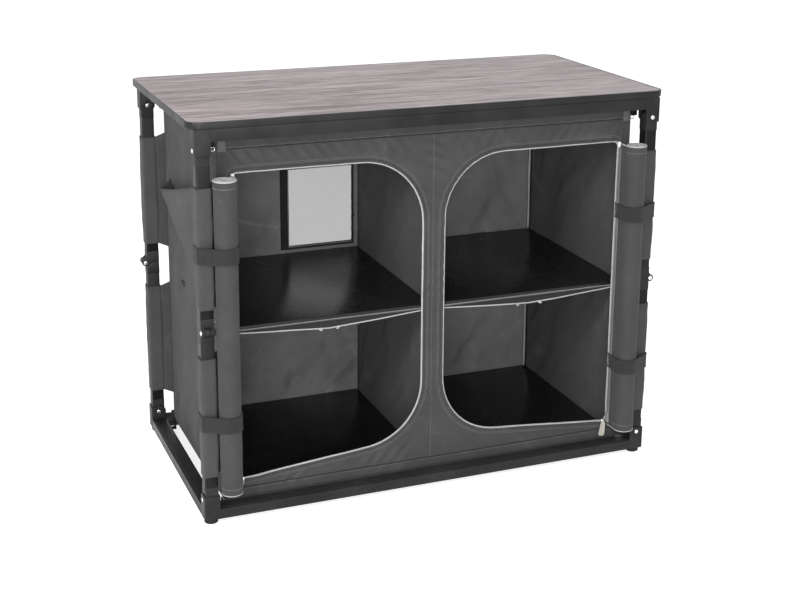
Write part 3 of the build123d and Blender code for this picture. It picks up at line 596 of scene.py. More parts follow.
# %% [markdown]
# Hung cloth is never flat, so its folds are drawn from a few simple waves.
#
# Where it is pulled to a hook, small folds fan out. Where it is sewn to a tight seam, it
# gathers in slanting folds, and elsewhere it rolls softly. Each of these is a function of
# the place on the wall, and a wall adds up the ones that the photograph shows there.

# %% Folds of hung cloth
def fade(value, start, end):
    """0 at start, 1 at end and smooth between them."""
    share = min(1.0, max(0.0, (value - start) / (end - start)))
    return share * share * (3 - 2 * share)


def waver(x, y, z):
    """Smooth noise at a point, from about -1 to 1."""
    return noise.noise(Vector((x, y, z)))


def pucker(along, height, corner_along, corner_height, reach, count, seed):
    """Small folds that fan out from a corner where the cloth is held."""
    run, rise = along - corner_along, height - corner_height
    distance = math.hypot(run, rise)
    strength = math.exp(-distance / reach) * fade(distance, 0, 0.03)
    return strength * math.sin(math.atan2(rise, run) * count + seed)


def rumple(along, height, seed):
    """Broad waves, small waves and a few sharp folds, from about -1 to 1."""
    broad = waver(along * 4.5, height * 3.5, seed)
    small = waver(along * 15, height * 12, seed + 7)
    line = waver(along * 5 + height * 4, height * 5 - along * 3, seed + 19)
    return broad * 1.1 + small * 0.35 + max(0.0, 1 - abs(line) / 0.10) * 0.3


def gathers(along, height, lean, pitch, seed):
    """Slanting folds a pitch apart, which come and go along the cloth."""
    across = along * math.cos(lean) + height * math.sin(lean)
    warp = 2.2 * waver(along * 7, height * 9, seed)
    share = max(0.0, 0.5 + 1.2 * waver(along * 9, height * 8, seed + 5))
    return share * math.sin(2 * math.pi * across / pitch + warp)


WEB_X = span("front_cloth", 0)[1]
CLOTH_BOTTOM, CLOTH_TOP = span("front_cloth", 2)
FRONT_Y = span("front_cloth", 1)[0]
REAR_Y = span("rear_cloth", 1)[1]
CABINET_X = span("right_cloth", 0)[1]
RAIL_TOP = span("bottom_long_rails", 2)[1]
RAIL_UNDER = span("top_long_rails", 2)[0]
SHELF_Z = middle("mid_board_left", 2)
WINDOW_LOW, WINDOW_HIGH = (Vector(corner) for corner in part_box("window_panel"))
print("cloth runs from z =", round(CLOTH_BOTTOM, 4), "to", round(CLOTH_TOP, 4))


def between_rails(height):
    """0 beside the rails, where the cloth lies flat on them, and 1 well clear of them."""
    above = fade(height, RAIL_TOP + 0.002, RAIL_TOP + 0.035)
    return above * fade(-height, -RAIL_UNDER + 0.002, -RAIL_UNDER + 0.032)


def front_lift(along, height):
    """How far the front or rear cloth stands out from its plane, in metres."""
    waves = 2.0 * rumple(along, height, 3.0)
    for side in (-1, 1):
        waves += 2.0 * pucker(along, height, side * 0.43, 0.752, 0.10, 17, side)
        waves += 1.6 * pucker(along, height, side * 0.43, 0.05, 0.09, 15, 2 + side)
        waves += 1.2 * pucker(along, height, side * 0.10, 0.62, 0.09, 19, 5 + side)
    top = fade(height, 0.698, 0.722)
    opening_foot = 0.108 - 0.0925 * (abs(along) - 0.023)
    foot = fade(opening_foot - height, 0.002, 0.020)
    lean = math.copysign(fade(abs(along), 0.02, 0.07), along)
    waves += 3.4 * abs(lean) * top * gathers(along, height, math.copysign(0.65, -lean), 0.022, 4.0)
    waves += 3.0 * abs(lean) * foot * gathers(along, height, math.copysign(0.75, lean), 0.023, 9.0)
    waves += 2.2 * fade(-abs(along), -0.026, -0.010) * gathers(along, height, 1.25, 0.024, 14.0)
    lift = waves * fade(-abs(along), -0.437, -0.405) + 0.6
    return (lift if lift > 0 else 0.4 * lift) * between_rails(height) * MM


def rear_lift(x, height):
    """How far the rear cloth stands out: the same folds seen from behind, and a few broad ones."""
    broad = 9.0 * gathers(-x, height, 0.5, 0.12, 27.0) + 3.6 * gathers(-x, height, -0.4, 0.05, 61.0)
    broad *= fade(-abs(x), -0.43, -0.36)
    beside = max(WINDOW_LOW.x - x, x - WINDOW_HIGH.x, 0.0)
    above = max(WINDOW_LOW.z - height, height - WINDOW_HIGH.z, 0.0)
    broad *= fade(math.hypot(beside, above), 0.022, 0.07)
    return front_lift(-x, height) + max(broad, -1.5) * between_rails(height) * MM


def side_lift(along, height, seed):
    """How far a side wall stands out from its plane, in metres."""
    waves = 3.2 * rumple(along, height, seed)
    for side in (-1, 1):
        waves += 2.4 * pucker(along, height, side * 0.21, 0.752, 0.10, 15, seed + side)
        waves += 2.0 * pucker(along, height, side * 0.21, 0.05, 0.09, 13, seed + 2 + side)
    waves += 4.4 * gathers(along, height, 0.35, 0.12, seed + 40)
    waves += 2.4 * gathers(along, height, 0.75, 0.05, seed + 50)
    return waves * fade(-abs(along), -0.219, -0.19) * between_rails(height) * MM


# %% [markdown]
# The real cloth folds away with the frame, and each sheet's area is noted with the size it was cut to.
#
# Real cloth crumples between the folded rails. Here the thickness that a Solidify modifier gives
# is made real in each piece's mesh, and the piece gets a mesh of its own. The sheets are kept in
# a list until their trims are made.

# %% Helpers for folding and for sheets
CLOTH_THICKNESS = 1.2 * MM
HUNG_FROM = ["top_hooks_dressed", "bottom_hooks_dressed"]
SHEETS = []
TRIMS = {}


def settled(piece):
    """Make a piece's modifiers part of its mesh, so that nothing is worked out again later."""
    bpy.context.view_layer.update()
    seen = piece.evaluated_get(bpy.context.evaluated_depsgraph_get())
    mesh = bpy.data.meshes.new_from_object(seen)
    piece.modifiers.clear()
    piece.data = mesh


def squashed(piece):
    """Make the cloth's thickness real, and give the piece a mesh of its own."""
    if piece.modifiers:
        settled(piece)
    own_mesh(piece)
    return piece


def pancaked(piece):
    """A piece on a rolled door, a strap or a zip, with its thickness made real as for any cloth."""
    return squashed(piece)


def wall_squashed(piece):
    """A piece of the front or rear cloth, with its thickness made real as for any cloth."""
    squashed(piece)


def wall_trim(piece, outward):
    """A trim of the front (-1) or rear (1) cloth: its thickness made real, and noted with that cloth."""
    wall_squashed(piece)
    TRIMS["front_cloth_sewn" if outward < 0 else "rear_cloth_sewn"].append(piece)


def area_of(bm):
    """The area of all the faces of a sheet."""
    return sum(face.calc_area() for face in bm.faces)


def noted_sheet(piece, area, flat, held, on):
    """Keep what is known of a sheet of cloth until its trims are made too."""
    SHEETS.append((piece, area, flat, held, on))
    TRIMS[piece.name] = []


def cloth_piece(name, bm, material, thickness, flat, held="hung", on=HUNG_FROM, replaced=(), offset=-1.0):
    """A sheet of cloth with its thickness, and a note of the size it was cut to."""
    area = area_of(bm)
    piece = make_piece(name, bm, material, replaced=replaced)
    thickened(piece, thickness, offset)
    noted_sheet(piece, area, flat, held, on)
    return piece


# %% [markdown]
# The front cloth has the two doorways, and the rear cloth has the window.
#
# Both are wider than the cabinet: beyond its corners they run on as narrow webs to the
# hooks. The inner side of the rear one is the inner cloth painted much lighter: painted light, standing in
# for the light from the window. The thickness gets the outer cloth, so the hem of each opening is grey too.

# %% Front and rear cloths
WEB_STEP = 2.6 * MM
WALL_HEIGHT = CLOTH_TOP - CLOTH_BOTTOM
for name, outward in (("front_cloth", -1), ("rear_cloth", 1)):
    bm = flat_side(name, 1, outward)
    cut_grid(bm, (0, 2), (3.8 if outward < 0 else 6.5) * MM)
    lay_uv(bm, 0, 2)
    lift = front_lift if outward < 0 else rear_lift
    for v in bm.verts:
        v.co.y += outward * lift(v.co.x, v.co.z)
        web = WEB_STEP * fade(abs(v.co.x), CABINET_X, WEB_X)
        v.co.x += math.copysign(web, v.co.x)
        v.co.y += outward * web
    flat = (2 * WEB_X, WALL_HEIGHT)
    cloth = cloth_piece(name + "_sewn", bm, CLOTH, CLOTH_THICKNESS, flat, replaced=[name])
    for material in (BACK_INSIDE_PAINTED_LIGHT if outward > 0 else INSIDE_PAINTED_LIGHTER, CLOTH, CLOTH):
        cloth.data.materials.append(material)
    for face in cloth.data.polygons:
        face.material_index = 0 if abs(face.center.x) < CABINET_X else 2
    cloth.modifiers["thickness"].material_offset = 1
    wall_squashed(cloth)
    print(cloth.name, "has", len(cloth.data.polygons), "faces")

# %% [markdown]
# The side walls and the partition are plain panels with the inner cloth on their far side: the cabinet cloth
# painted a little lighter, as painted light inside the cabinet.
#
# The partition is stretched where the shelf boards and the floor hold it, so its folds fade
# there. A near-black band along the top edge of each side wall is painted shadow, the shade under the
# worktop's edge.

# %% Side walls and partition
WALL_DEPTH = 0.44
for name, outward, seed in (("left_cloth", -1, 11.0), ("right_cloth", 1, 23.0), ("partition_cloth", 1, 31.0)):
    is_partition = name == "partition_cloth"
    bm = flat_side(name, 0, outward)
    cut_grid(bm, (1, 2), 9 * MM)
    lay_uv(bm, 1, 2)
    for v in bm.verts:
        lift = side_lift(v.co.y - MID_Y, v.co.z, seed)
        if is_partition:
            lift *= 0.2 + 0.6 * fade(abs(v.co.z - SHELF_Z), 0.012, 0.05) * fade(v.co.z, 0.045, 0.09)
        v.co.x += outward * lift
    material = INSIDE_PAINTED_LIGHTER if is_partition else CLOTH
    flat = (WALL_DEPTH, WALL_HEIGHT)
    cloth = cloth_piece(name + "_sewn", bm, material, CLOTH_THICKNESS, flat, replaced=[name])
    cloth.data.materials.append(INSIDE_PAINTED_LIGHTER)
    cloth.modifiers["thickness"].material_offset = 1
    squashed(cloth)
    if is_partition:
        continue
    # The band at the top of the wall is painted shadow from the worktop above it.
    front, back = span(name, 1)
    outer = span(name, 0)[0 if outward < 0 else 1] + outward * 0.3 * MM
    bm = upright_patch("Y", (1, (back - front) / 2, 5.5 * MM), (outer, MID_Y, CLOTH_TOP - 5.2 * MM))
    cut_grid(bm, (1,), 12 * MM)
    lay_uv(bm, 1, 2)
    for v in bm.verts:
        v.co.x += outward * side_lift(v.co.y - MID_Y, v.co.z, seed)
    faced(bm, 0, outward)
    band = make_piece(name.replace("cloth", "wall_top_painted_shadow"), bm, DARK_BINDING_AND_PAINTED_SHADE)
    thickened(band, 0.9 * MM, 1.0)
    TRIMS[cloth.name].append(squashed(band))
print("side walls and partition sewn")

# %% [markdown]
# The floor of the cabinet lies flat on the lips of the long rails, and the window is a flat
# panel of net that follows the folds of the rear cloth.

# %% Floor cloth and window
FLOOR_DEPTH = 0.442
bm = flat_side("floor_cloth", 2, 1)
cut_grid(bm, (0, 1), 20 * MM)
lay_uv(bm, 0, 1)
floor_on = ["bottom_long_rails_dressed"]
flat = (2 * CABINET_X, FLOOR_DEPTH)
cloth_piece("floor_cloth_sewn", bm, INSIDE_PAINTED_LIGHTER, CLOTH_THICKNESS, flat, "laid", floor_on, ["floor_cloth"])

bm = flat_side("window_panel", 1, 1)
cut_grid(bm, (0, 2), 12 * MM)
lay_uv(bm, 0, 2)
for v in bm.verts:
    v.co.y += rear_lift(v.co.x, v.co.z)
area = area_of(bm)
window = make_piece("window_net", bm, NET, ["window_panel"])
size = WINDOW_HIGH - WINDOW_LOW
noted_sheet(window, area, (size.x, size.z), "stretched", ["rear_cloth_sewn"])
wall_squashed(window)
print("the window is", round(size.x, 3), "m wide")

# %% [markdown]
# Bands, sleeves, straps and rolled doors are all a line drawn in plan and raised up.
#
# The line is spun and extruded as a chain of edges, then raised row by row. Each row keeps
# the line's own length in its UV map, so the weave runs along the cloth however it winds.

# %% Helpers for raised cloth
def chain_lengths(chain):
    """The length along a chain of vertices at each of them."""
    lengths = [0.0]
    for first, second in zip(chain, chain[1:]):
        lengths.append(lengths[-1] + (second.co - first.co).length)
    return lengths


def raised(bm, chain, edges, heights, closed=False):
    """Extrude a chain of edges up to each height. Returns the rows and lays the UV map."""
    lengths = chain_lengths(chain)
    places = {v: length for v, length in zip(chain, lengths)}
    whole = lengths[-1] + (chain[0].co - chain[-1].co).length
    rows = [list(chain)]
    for low, high in zip(heights, heights[1:]):
        made = bmesh.ops.extrude_edge_only(bm, edges=edges)["geom"]
        fresh = {v for v in made if isinstance(v, bmesh.types.BMVert)}
        row = []
        for v in rows[-1]:
            above = next(e.other_vert(v) for e in v.link_edges if e.other_vert(v) in fresh)
            places[above] = places[v]
            row.append(above)
        bmesh.ops.translate(bm, verts=row, vec=(0, 0, high - low))
        members = set(row)
        edges = [e for e in made if isinstance(e, bmesh.types.BMEdge) and set(e.verts) <= members]
        rows.append(row)
    layer = bm.loops.layers.uv.new("cloth")
    for face in bm.faces:
        along = [places[loop.vert] for loop in face.loops]
        wraps = closed and max(along) - min(along) > whole / 2
        for loop, place in zip(face.loops, along):
            if wraps and place < whole / 2:
                place += whole
            loop[layer].uv = (place, loop.vert.co.z)
    return rows


def spaced(low, high, step):
    """Heights from low to high, about a step apart."""
    count = max(1, round((high - low) / step))
    return [low + (high - low) * i / count for i in range(count + 1)]


def drawn(bm, points):
    """A chain of vertices through points, joined by edges."""
    chain = [bm.verts.new(point) for point in points]
    edges = [bm.edges.new(pair) for pair in zip(chain, chain[1:])]
    return chain, edges


def carried_on(bm, chain, edges, goal, steps=6):
    """Carry a chain straight on to a goal in plan."""
    last = chain[-1].co.copy()
    for i in range(1, steps + 1):
        chain.append(bm.verts.new(last.lerp(Vector((*goal, last.z)), i / steps)))
        edges.append(bm.edges.new(chain[-2:]))


def spun(bm, chain, edges, centre, angle, steps):
    """Carry a chain on along an arc round a centre in plan."""
    tip = chain[-1]
    bmesh.ops.spin(bm, geom=[tip], cent=(*centre, tip.co.z), axis=(0, 0, 1), angle=angle, steps=steps)
    bm.verts.index_update()
    seen = set(chain)
    for _ in range(steps):
        link = next(e for e in tip.link_edges if e.other_vert(tip) not in seen)
        edges.append(link)
        tip = link.other_vert(tip)
        chain.append(tip)
        seen.add(tip)


def strip(points, step):
    """A strip of cloth along a line of points. Returns its bmesh and the vertices of its far edge."""
    bm = bmesh.new()
    made = bmesh.ops.extrude_edge_only(bm, edges=drawn(bm, points)[1])["geom"]
    far = [v for v in made if isinstance(v, bmesh.types.BMVert)]
    bmesh.ops.translate(bm, verts=far, vec=step)
    return bm, far


def outward_faces(bm, centre):
    """Turn an open sheet so that its normals point away from an upright axis."""
    bmesh.ops.recalc_face_normals(bm, faces=bm.faces)
    score = 0.0
    for face in bm.faces:
        away = face.calc_center_median() - Vector((*centre, 0))
        away.z = 0
        score += face.normal.dot(away)
    if score < 0:
        bmesh.ops.reverse_faces(bm, faces=bm.faces)


# %% [markdown]
# Sleeves: a tube of cloth round each half of each leg.
#
# A real sleeve is cut a little wide, so it bulges and dimples between its two hems, while
# the webs and the straps hold it flat. Each sleeve is a square with rounded corners,
# raised in rows, and pushed out by a smooth noise that dies away at the hems.

# %% Leg sleeves
LEG_X = middle("upper_leg_front_right", 0)
LEG_Y = middle("upper_leg_rear_right", 1) - MID_Y
SLEEVE_WIDTH = 29.4 * MM
SLEEVE_ROUND = 0.118
SLEEVE_LOW, SLEEVE_HIGH = span("leg_sleeves", 2)
KNEE_Z = middle("knee_pin_front_left", 2)
STRAP_HEIGHTS = (213 * MM, 548 * MM)
SLEEVES = {"lower": (SLEEVE_LOW, KNEE_Z - 55 * MM), "upper": (KNEE_Z + 43 * MM, SLEEVE_HIGH)}
HEM = 16 * MM


def near_strap(z, reach):
    """1 under a strap, fading to 0 over the reach above and below it."""
    return max(math.exp(-(((z - strap) / reach) ** 2)) for strap in STRAP_HEIGHTS)


def sleeve_loop(bm, centre, z):
    """A square with rounded corners as a closed chain of edges."""
    bmesh.ops.create_circle(bm, cap_ends=True, radius=SLEEVE_WIDTH / math.sqrt(2), segments=4)
    turned(bm, "Z", math.pi / 4)
    bmesh.ops.bevel(
        bm, geom=bm.verts[:], offset=4 * MM, segments=4, profile=0.5, affect="VERTICES", material=-1
    )
    bmesh.ops.delete(bm, geom=bm.faces[:], context="FACES_ONLY")
    long_edges = [e for e in bm.edges if e.calc_length() > 8 * MM]
    bmesh.ops.subdivide_edges(bm, edges=long_edges, cuts=6)
    shifted(bm, (*centre, z))
    bm.verts.ensure_lookup_table()
    chain = [bm.verts[0]]
    while True:
        links = [e.other_vert(chain[-1]) for e in chain[-1].link_edges]
        onward = [v for v in links if v not in chain]
        if not onward:
            break
        chain.append(onward[0])
    return chain, bm.edges[:]


def sleeve_push(point, low, high, seed, strapped):
    """How far the cloth of a sleeve stands off at a point, in mm."""
    x, y, z = point
    loose = fade(z, low + HEM * 0.6, low + 3 * HEM) * fade(-z, -high + HEM * 0.6, -high + 3 * HEM)
    if strapped:
        loose *= 1 - near_strap(z, 0.024)
    wave = waver(x * 30, y * 30, z * 14 + seed)
    wrinkle = waver(x * 60, y * 60, z * 45 + seed)
    hem = 0.35 * (1 - fade(min(z - low, high - z), HEM * 0.8, HEM))
    return max(hem + loose * (1.3 + 1.3 * wave + 0.6 * wrinkle), -0.1)


sleeve_count = 0
for corner, (side_x, side_y) in CORNERS.items():
    for half, (low, high) in SLEEVES.items():
        bm = bmesh.new()
        centre = (side_x * LEG_X, side_y * LEG_Y + MID_Y)
        chain, edges = sleeve_loop(bm, centre, low)
        raised(bm, chain, edges, spaced(low, high, 6 * MM), closed=True)
        outward_faces(bm, centre)
        bm.normal_update()
        for v in bm.verts:
            v.co += v.normal * sleeve_push(v.co, low, high, sleeve_count, side_y < 0) * MM
        body = f"{half}_leg_{corner}"
        area = area_of(bm)
        name = f"{half}_sleeve_{corner}"
        sleeve = make_piece(name, bm, SLEEVE, replaced=["leg_sleeves"], body=body)
        thickened(sleeve, 1.6 * MM)
        noted_sheet(sleeve, area, (SLEEVE_ROUND, high - low), "stretched", [f"{body}_dressed"])
        sleeve_count += 1
print("sleeves made:", sleeve_count)

# %% [markdown]
# The doors are rolled up and held beside their openings.
#
# A rolled door leaves the edge of its opening, runs forward beside the leg and winds up on
# itself ten half turns. Spinning one vertex round alternating centres draws that spiral
# exactly, and raising it makes the roll. Its top and bottom edges carry the same pale
# binding as the opening.

# %% Rolled doors
ROLL_LOW, ROLL_HIGH = span("door_rolls", 2)
ROLL_RADIUS = 22 * MM
ROLL_CLOTH = 2.2 * MM
ROLL_SHRINK = 1.6 * MM
ROLL_HALF_TURNS = 10
ROLL_SEAM_INSET = 13 * MM
ROLL_X = span("door_rolls", 0)[1] - ROLL_RADIUS
ROLL_FRONT, DOOR_CLOTH_Y = span("door_rolls", 1)
ROLL_Y = ROLL_FRONT + ROLL_RADIUS


def from_roll(point, side):
    """The way in plan from a roll's own axis to a point."""
    return Vector((point.x - side * ROLL_X, point.y - ROLL_Y, 0))


def roll_shift(point, side):
    """How a rolled door departs from a true spiral: soft lumps, and a waist under each strap."""
    away = from_roll(point, side)
    lump = waver(point.x * 14, point.y * 14, point.z * 5.5 + side)
    ripple = waver(point.x * 35, point.y * 35, point.z * 22)
    waist = near_strap(point.z, 0.026)
    push = (1.5 * lump + 0.5 * ripple) * (1 - waist) * MM - 0.35 * MM * waist
    share = fade(away.length, 0, ROLL_RADIUS)
    held = fade(-point.y, -DOOR_CLOTH_Y + 0.002, -DOOR_CLOTH_Y + 0.02)
    return away.normalized() * push * share * held if away.length > 0 else Vector()


def roll_chain(bm, side, z):
    """The wound line of a rolled door in plan, from the cloth to its inmost end."""
    outer = ROLL_RADIUS - ROLL_CLOTH / 2
    x = ROLL_X - outer
    chain, edges = drawn(
        bm, [(side * x, DOOR_CLOTH_Y - (DOOR_CLOTH_Y - ROLL_Y) * i / 4, z) for i in range(5)]
    )
    for half_turn in range(ROLL_HALF_TURNS):
        reach = (outer - half_turn * ROLL_SHRINK) * (1 if half_turn % 2 == 0 else -1)
        spun(bm, chain, edges, (side * (x + reach), ROLL_Y), side * math.pi, 14)
        x += 2 * reach
    return chain, edges


def tube_along(name, lines, radius, material, replaced=(), body="bottom_frame"):
    """A round cord of binding along one or more lines of points."""
    curve = bpy.data.curves.new(name, "CURVE")
    curve.dimensions = "3D"
    curve.bevel_depth = radius
    curve.bevel_resolution = 3
    curve.use_fill_caps = True
    for points, closed in lines:
        spline = curve.splines.new("POLY")
        spline.points.add(len(points) - 1)
        for spot, point in zip(spline.points, points):
            spot.co = (*point, 1)
        spline.use_cyclic_u = closed
    drawn_curve = bpy.data.objects.new(name + "_line", curve)
    bpy.context.scene.collection.objects.link(drawn_curve)
    mesh = bpy.data.meshes.new_from_object(drawn_curve)
    bpy.data.objects.remove(drawn_curve)
    bm = bmesh.new()
    bm.from_mesh(mesh)
    bmesh.ops.remove_doubles(bm, verts=bm.verts, dist=0.001 * MM)
    bmesh.ops.recalc_face_normals(bm, faces=bm.faces)
    write_uv(bm, bm.loops.layers.uv.verify(), lambda point: (point.x + point.y, point.z))
    return make_piece(name, bm, material, replaced, body)


for side, word in SIDES:
    bm = bmesh.new()
    chain, edges = roll_chain(bm, side, ROLL_LOW)
    rows = raised(bm, chain, edges, spaced(ROLL_LOW, ROLL_HIGH, 12 * MM))
    for v in bm.verts:
        v.co += roll_shift(v.co, side)
    outmost = [v.co.copy() for v in rows[-1][3:32]]
    ends = [([v.co.copy() for v in row], False) for row in (rows[0], rows[-1])]
    wound = chain_lengths(rows[-1])[-1]
    flat = (wound, ROLL_HIGH - ROLL_LOW)
    name = f"{word}_door_rolled"
    held_by = ["front_cloth_sewn"]
    roll = cloth_piece(name, bm, CLOTH, ROLL_CLOTH, flat, "gathered", held_by, ["door_rolls"], 0.0)
    pancaked(roll)
    edge = tube_along(f"{word}_roll_binding", ends, 1.5 * MM, BINDING)
    seams = []
    for z in (ROLL_LOW + ROLL_SEAM_INSET, ROLL_HIGH - ROLL_SEAM_INSET):
        around = []
        for top in outmost:
            spot = Vector((top.x, top.y, z))
            proud = from_roll(spot, side).normalized() * ROLL_CLOTH * 0.52
            around.append(spot + roll_shift(spot, side) - roll_shift(top, side) + proud)
        seams.append((around, False))
    seam = tube_along(f"{word}_roll_seams", seams, 0.6 * MM, THREAD)
    TRIMS[name] += [pancaked(edge), pancaked(seam)]
    print(roll.name, "is wound from", round(wound, 3), "m of cloth")

# %% [markdown]
# Each door opening is edged with a zip tape, with a pale round cord sewn at the very edge.
#
# The tape is the flat ring of the CAD model, cut into short lengths so that it can follow
# the cloth. The cord is a tube along the ring's inner edge. Because both ask the cloth
# where it is, neither floats off it.

# %% Helpers for edges
def boundary_loops(bm):
    """The open edges of a mesh as closed loops of points, in the same order on every run."""
    open_edges = dict.fromkeys(e for e in bm.edges if e.is_boundary)
    loops = []
    while open_edges:
        edge = next(iter(open_edges))
        del open_edges[edge]
        start, tip = edge.verts
        line = [start, tip]
        while True:
            onward = next((e for e in tip.link_edges if e in open_edges), None)
            if onward is None:
                break
            del open_edges[onward]
            tip = onward.other_vert(tip)
            line.append(tip)
        loops.append([v.co.copy() for v in line[:-1]])
    return loops


def line_length(points, closed=True):
    """The length of a line of points."""
    pairs = zip(points, points[1:] + points[:1]) if closed else zip(points, points[1:])
    return sum((b - a).length for a, b in pairs)


def evenly(points, step, closed=True):
    """The same line with points an even step apart."""
    line = points + points[:1] if closed else list(points)
    total = line_length(line, closed=False)
    count = max(2, round(total / step))
    wanted = [total * i / count for i in range(count if closed else count + 1)]
    made, run, i = [], 0.0, 0
    for place in wanted:
        while i < len(line) - 2 and run + (line[i + 1] - line[i]).length < place:
            run += (line[i + 1] - line[i]).length
            i += 1
        reach = (line[i + 1] - line[i]).length
        made.append(line[i].lerp(line[i + 1], min(1.0, (place - run) / reach) if reach else 0.0))
    return made


def softened(points, rounds):
    """A closed line with the corners between its straight bits smoothed a little."""
    for _ in range(rounds):
        before = [points[-1]] + points[:-1]
        after = points[1:] + points[:1]
        points = [(a + 2 * b + c) / 4 for a, b, c in zip(before, points, after)]
    return points


ring = flat_side("zip_tapes", 1, -1)
rings = sorted(boundary_loops(ring), key=line_length)
ring.free()
OPENINGS = {}
for points in rings[:2]:
    word = "left" if sum(p.x for p in points) < 0 else "right"
    OPENINGS[word] = softened(evenly(points, 5 * MM), 2)
    print(word, "opening is", round(line_length(OPENINGS[word]), 3), "m round")


# %% [markdown]
# The tape and the cord are made one after the other.
#
# On the real box the tape is sewn flat to the cloth, and the cord closes its raw edge. So
# the tape takes the lift of the cloth point by point, and the cord sinks a little into it.

# %% Tape and cord round the doors
def on_front(x, z, proud=0.0):
    """A point on the front cloth, lifted as the cloth is."""
    return Vector((x, FRONT_Y - front_lift(x, z) - proud, z))


bm = flat_side("zip_tapes", 1, -1)
cut_grid(bm, (0, 2), 4 * MM)
lay_uv(bm, 0, 2)
for v in bm.verts:
    v.co.y -= front_lift(v.co.x, v.co.z)
tape = make_piece("opening_tapes", bm, CLOTH, ["zip_tapes"])
thickened(tape, 1.1 * MM)
wall_trim(tape, -1)
edges = [([on_front(p.x, p.z, -0.4 * MM) for p in points], True) for points in OPENINGS.values()]
wall_trim(tube_along("opening_edge", edges, 2.1 * MM, BINDING, ["zip_tapes"]), -1)
print("the openings are edged with", len(tape.data.polygons), "faces of tape")

# %% [markdown]
# Stitches are what makes sewn cloth look sewn.
#
# A row of stitches is a chain of short threads with small gaps. Each thread is a tiny
# block of six faces, set on the cloth and turned along the seam, so that thousands of
# them stay light.

# %% Stitching
STITCH = 3.4 * MM
STITCH_STEP = 4.6 * MM
STITCH_WIDTH = 1.0 * MM
STITCH_HEIGHT = 0.5 * MM


def stitch_rows(name, lines, normal):
    """Rows of short threads along lines of points on a cloth."""
    bm = bmesh.new()
    size = Matrix.Diagonal((STITCH, STITCH_WIDTH, STITCH_HEIGHT, 1))
    for points, closed in lines:
        spots = evenly(points, STITCH_STEP, closed)
        onward = spots[1:] + (spots[:1] if closed else [spots[-1] * 2 - spots[-2]])
        for spot, following in zip(spots, onward):
            along = (following - spot).normalized()
            facing = Matrix((along, normal.cross(along), normal)).transposed().to_4x4()
            bmesh.ops.create_cube(bm, size=1, matrix=Matrix.Translation(spot) @ facing @ size)
    lay_uv(bm, 0, 2)
    return make_piece(name, bm, THREAD)


def outset(points, amount):
    """A closed line in the XZ plane moved outward."""
    centre = sum(points, Vector()) / len(points)
    moved = []
    for before, point, after in zip([points[-1]] + points[:-1], points, points[1:] + points[:1]):
        along = (after - before).normalized()
        side = Vector((along.z, 0, -along.x))
        if side.dot(point - centre) < 0:
            side = -side
        moved.append(point + side * amount)
    return moved


def across_front(z, inset, proud):
    """A level line across the front cloth, as a tube or a row of stitches takes it."""
    places = spaced(-CABINET_X + inset, CABINET_X - inset, 4 * MM)
    return [on_front(x, z, proud) for x in places], False


PILLAR_X = -2 * MM
rows = []
for points in OPENINGS.values():
    for amount in (9.5 * MM, 12.5 * MM):
        rows.append(([on_front(p.x, p.z, 0.15 * MM) for p in outset(points, amount)], True))
heights = spaced(CLOTH_BOTTOM + 0.004, CLOTH_TOP - 0.004, 5 * MM)
rows.append(([on_front(PILLAR_X, z, 0.15 * MM) for z in heights], False))
rows += [across_front(z, 0.006, 1.1 * MM) for z in (0.0515, 0.7425)]
front_stitches = stitch_rows("front_stitches", rows, Vector((0, -1, 0)))
print("front stitches:", len(front_stitches.data.polygons) // 6)
wall_trim(front_stitches, -1)

# %% [markdown]
# The front cloth has a folded hem along its top and its bottom, and a short end tab at each
# top corner where it is pulled out to its hook. The rear cloth has the same two hems.

# %% Hems
HEM_UNDER = 0.740
HEM_TOP = RAIL_UNDER - 0.001
FOOT_HEM_TOP = 0.0535
TAB_WIDTH = 0.017


def hem_band(name, low, high, reach, proud, material=CLOTH, outward=-1):
    """A strip of folded cloth on the front or rear cloth between two heights."""
    first, last = reach
    half_size = ((last - first) / 2, 1, (high - low) / 2)
    bm = upright_patch("X", half_size, ((first + last) / 2, 0, (low + high) / 2))
    cut_grid(bm, (0, 2), 3.8 * MM)
    lay_uv(bm, 0, 2)
    plane, lift = (FRONT_Y, front_lift) if outward < 0 else (REAR_Y, rear_lift)
    for v in bm.verts:
        x, _, z = v.co
        edge = min(z - low, high - z, x - first, last - x) + 0.2 * MM
        rise = proud * (0.4 + 0.6 * fade(edge, 0, 3 * MM))
        crease = 0.35 * MM * waver(x * 55, 2.0, z * 9)
        v.co.y = plane + outward * (lift(x, z) + rise + crease)
    faced(bm, 1, outward)
    piece = make_piece(name, bm, material)
    thickened(piece, 0.9 * MM)
    wall_trim(piece, outward)


hem_reach = (-CABINET_X + 0.002, CABINET_X - 0.002)
for word, outward, proud in (("front", -1, 1.0 * MM), ("rear", 1, 0.9 * MM)):
    hem_band(f"{word}_top_hem", HEM_UNDER, HEM_TOP, hem_reach, proud, outward=outward)
    hem_band(f"{word}_bottom_hem", RAIL_TOP + 0.002, FOOT_HEM_TOP, hem_reach, proud, outward=outward)
for side, word in SIDES:
    reach = sorted(side * (CABINET_X - inset) for inset in (0.001 + TAB_WIDTH, 0.001))
    hem_band(f"{word}_end_tab", 0.735, HEM_TOP - 0.0005, reach, 1.9 * MM, TAB_CLOTH)
seams = [across_front(z, 0.003, 0.5 * MM) for z in (0.0545, 0.7392)]
wall_trim(tube_along("front_hem_seams", seams, 0.9 * MM, DARK_BINDING_AND_PAINTED_SHADE), -1)
print("hems end at z =", round(HEM_TOP, 4))

# %% [markdown]
# A narrow tape with the other half of the zip runs down between each opening and its roll.
#
# It is sewn to the door where the door leaves the front cloth. A white moulded end holds
# the teeth at the top, and a folded cap of tape covers the lower end.

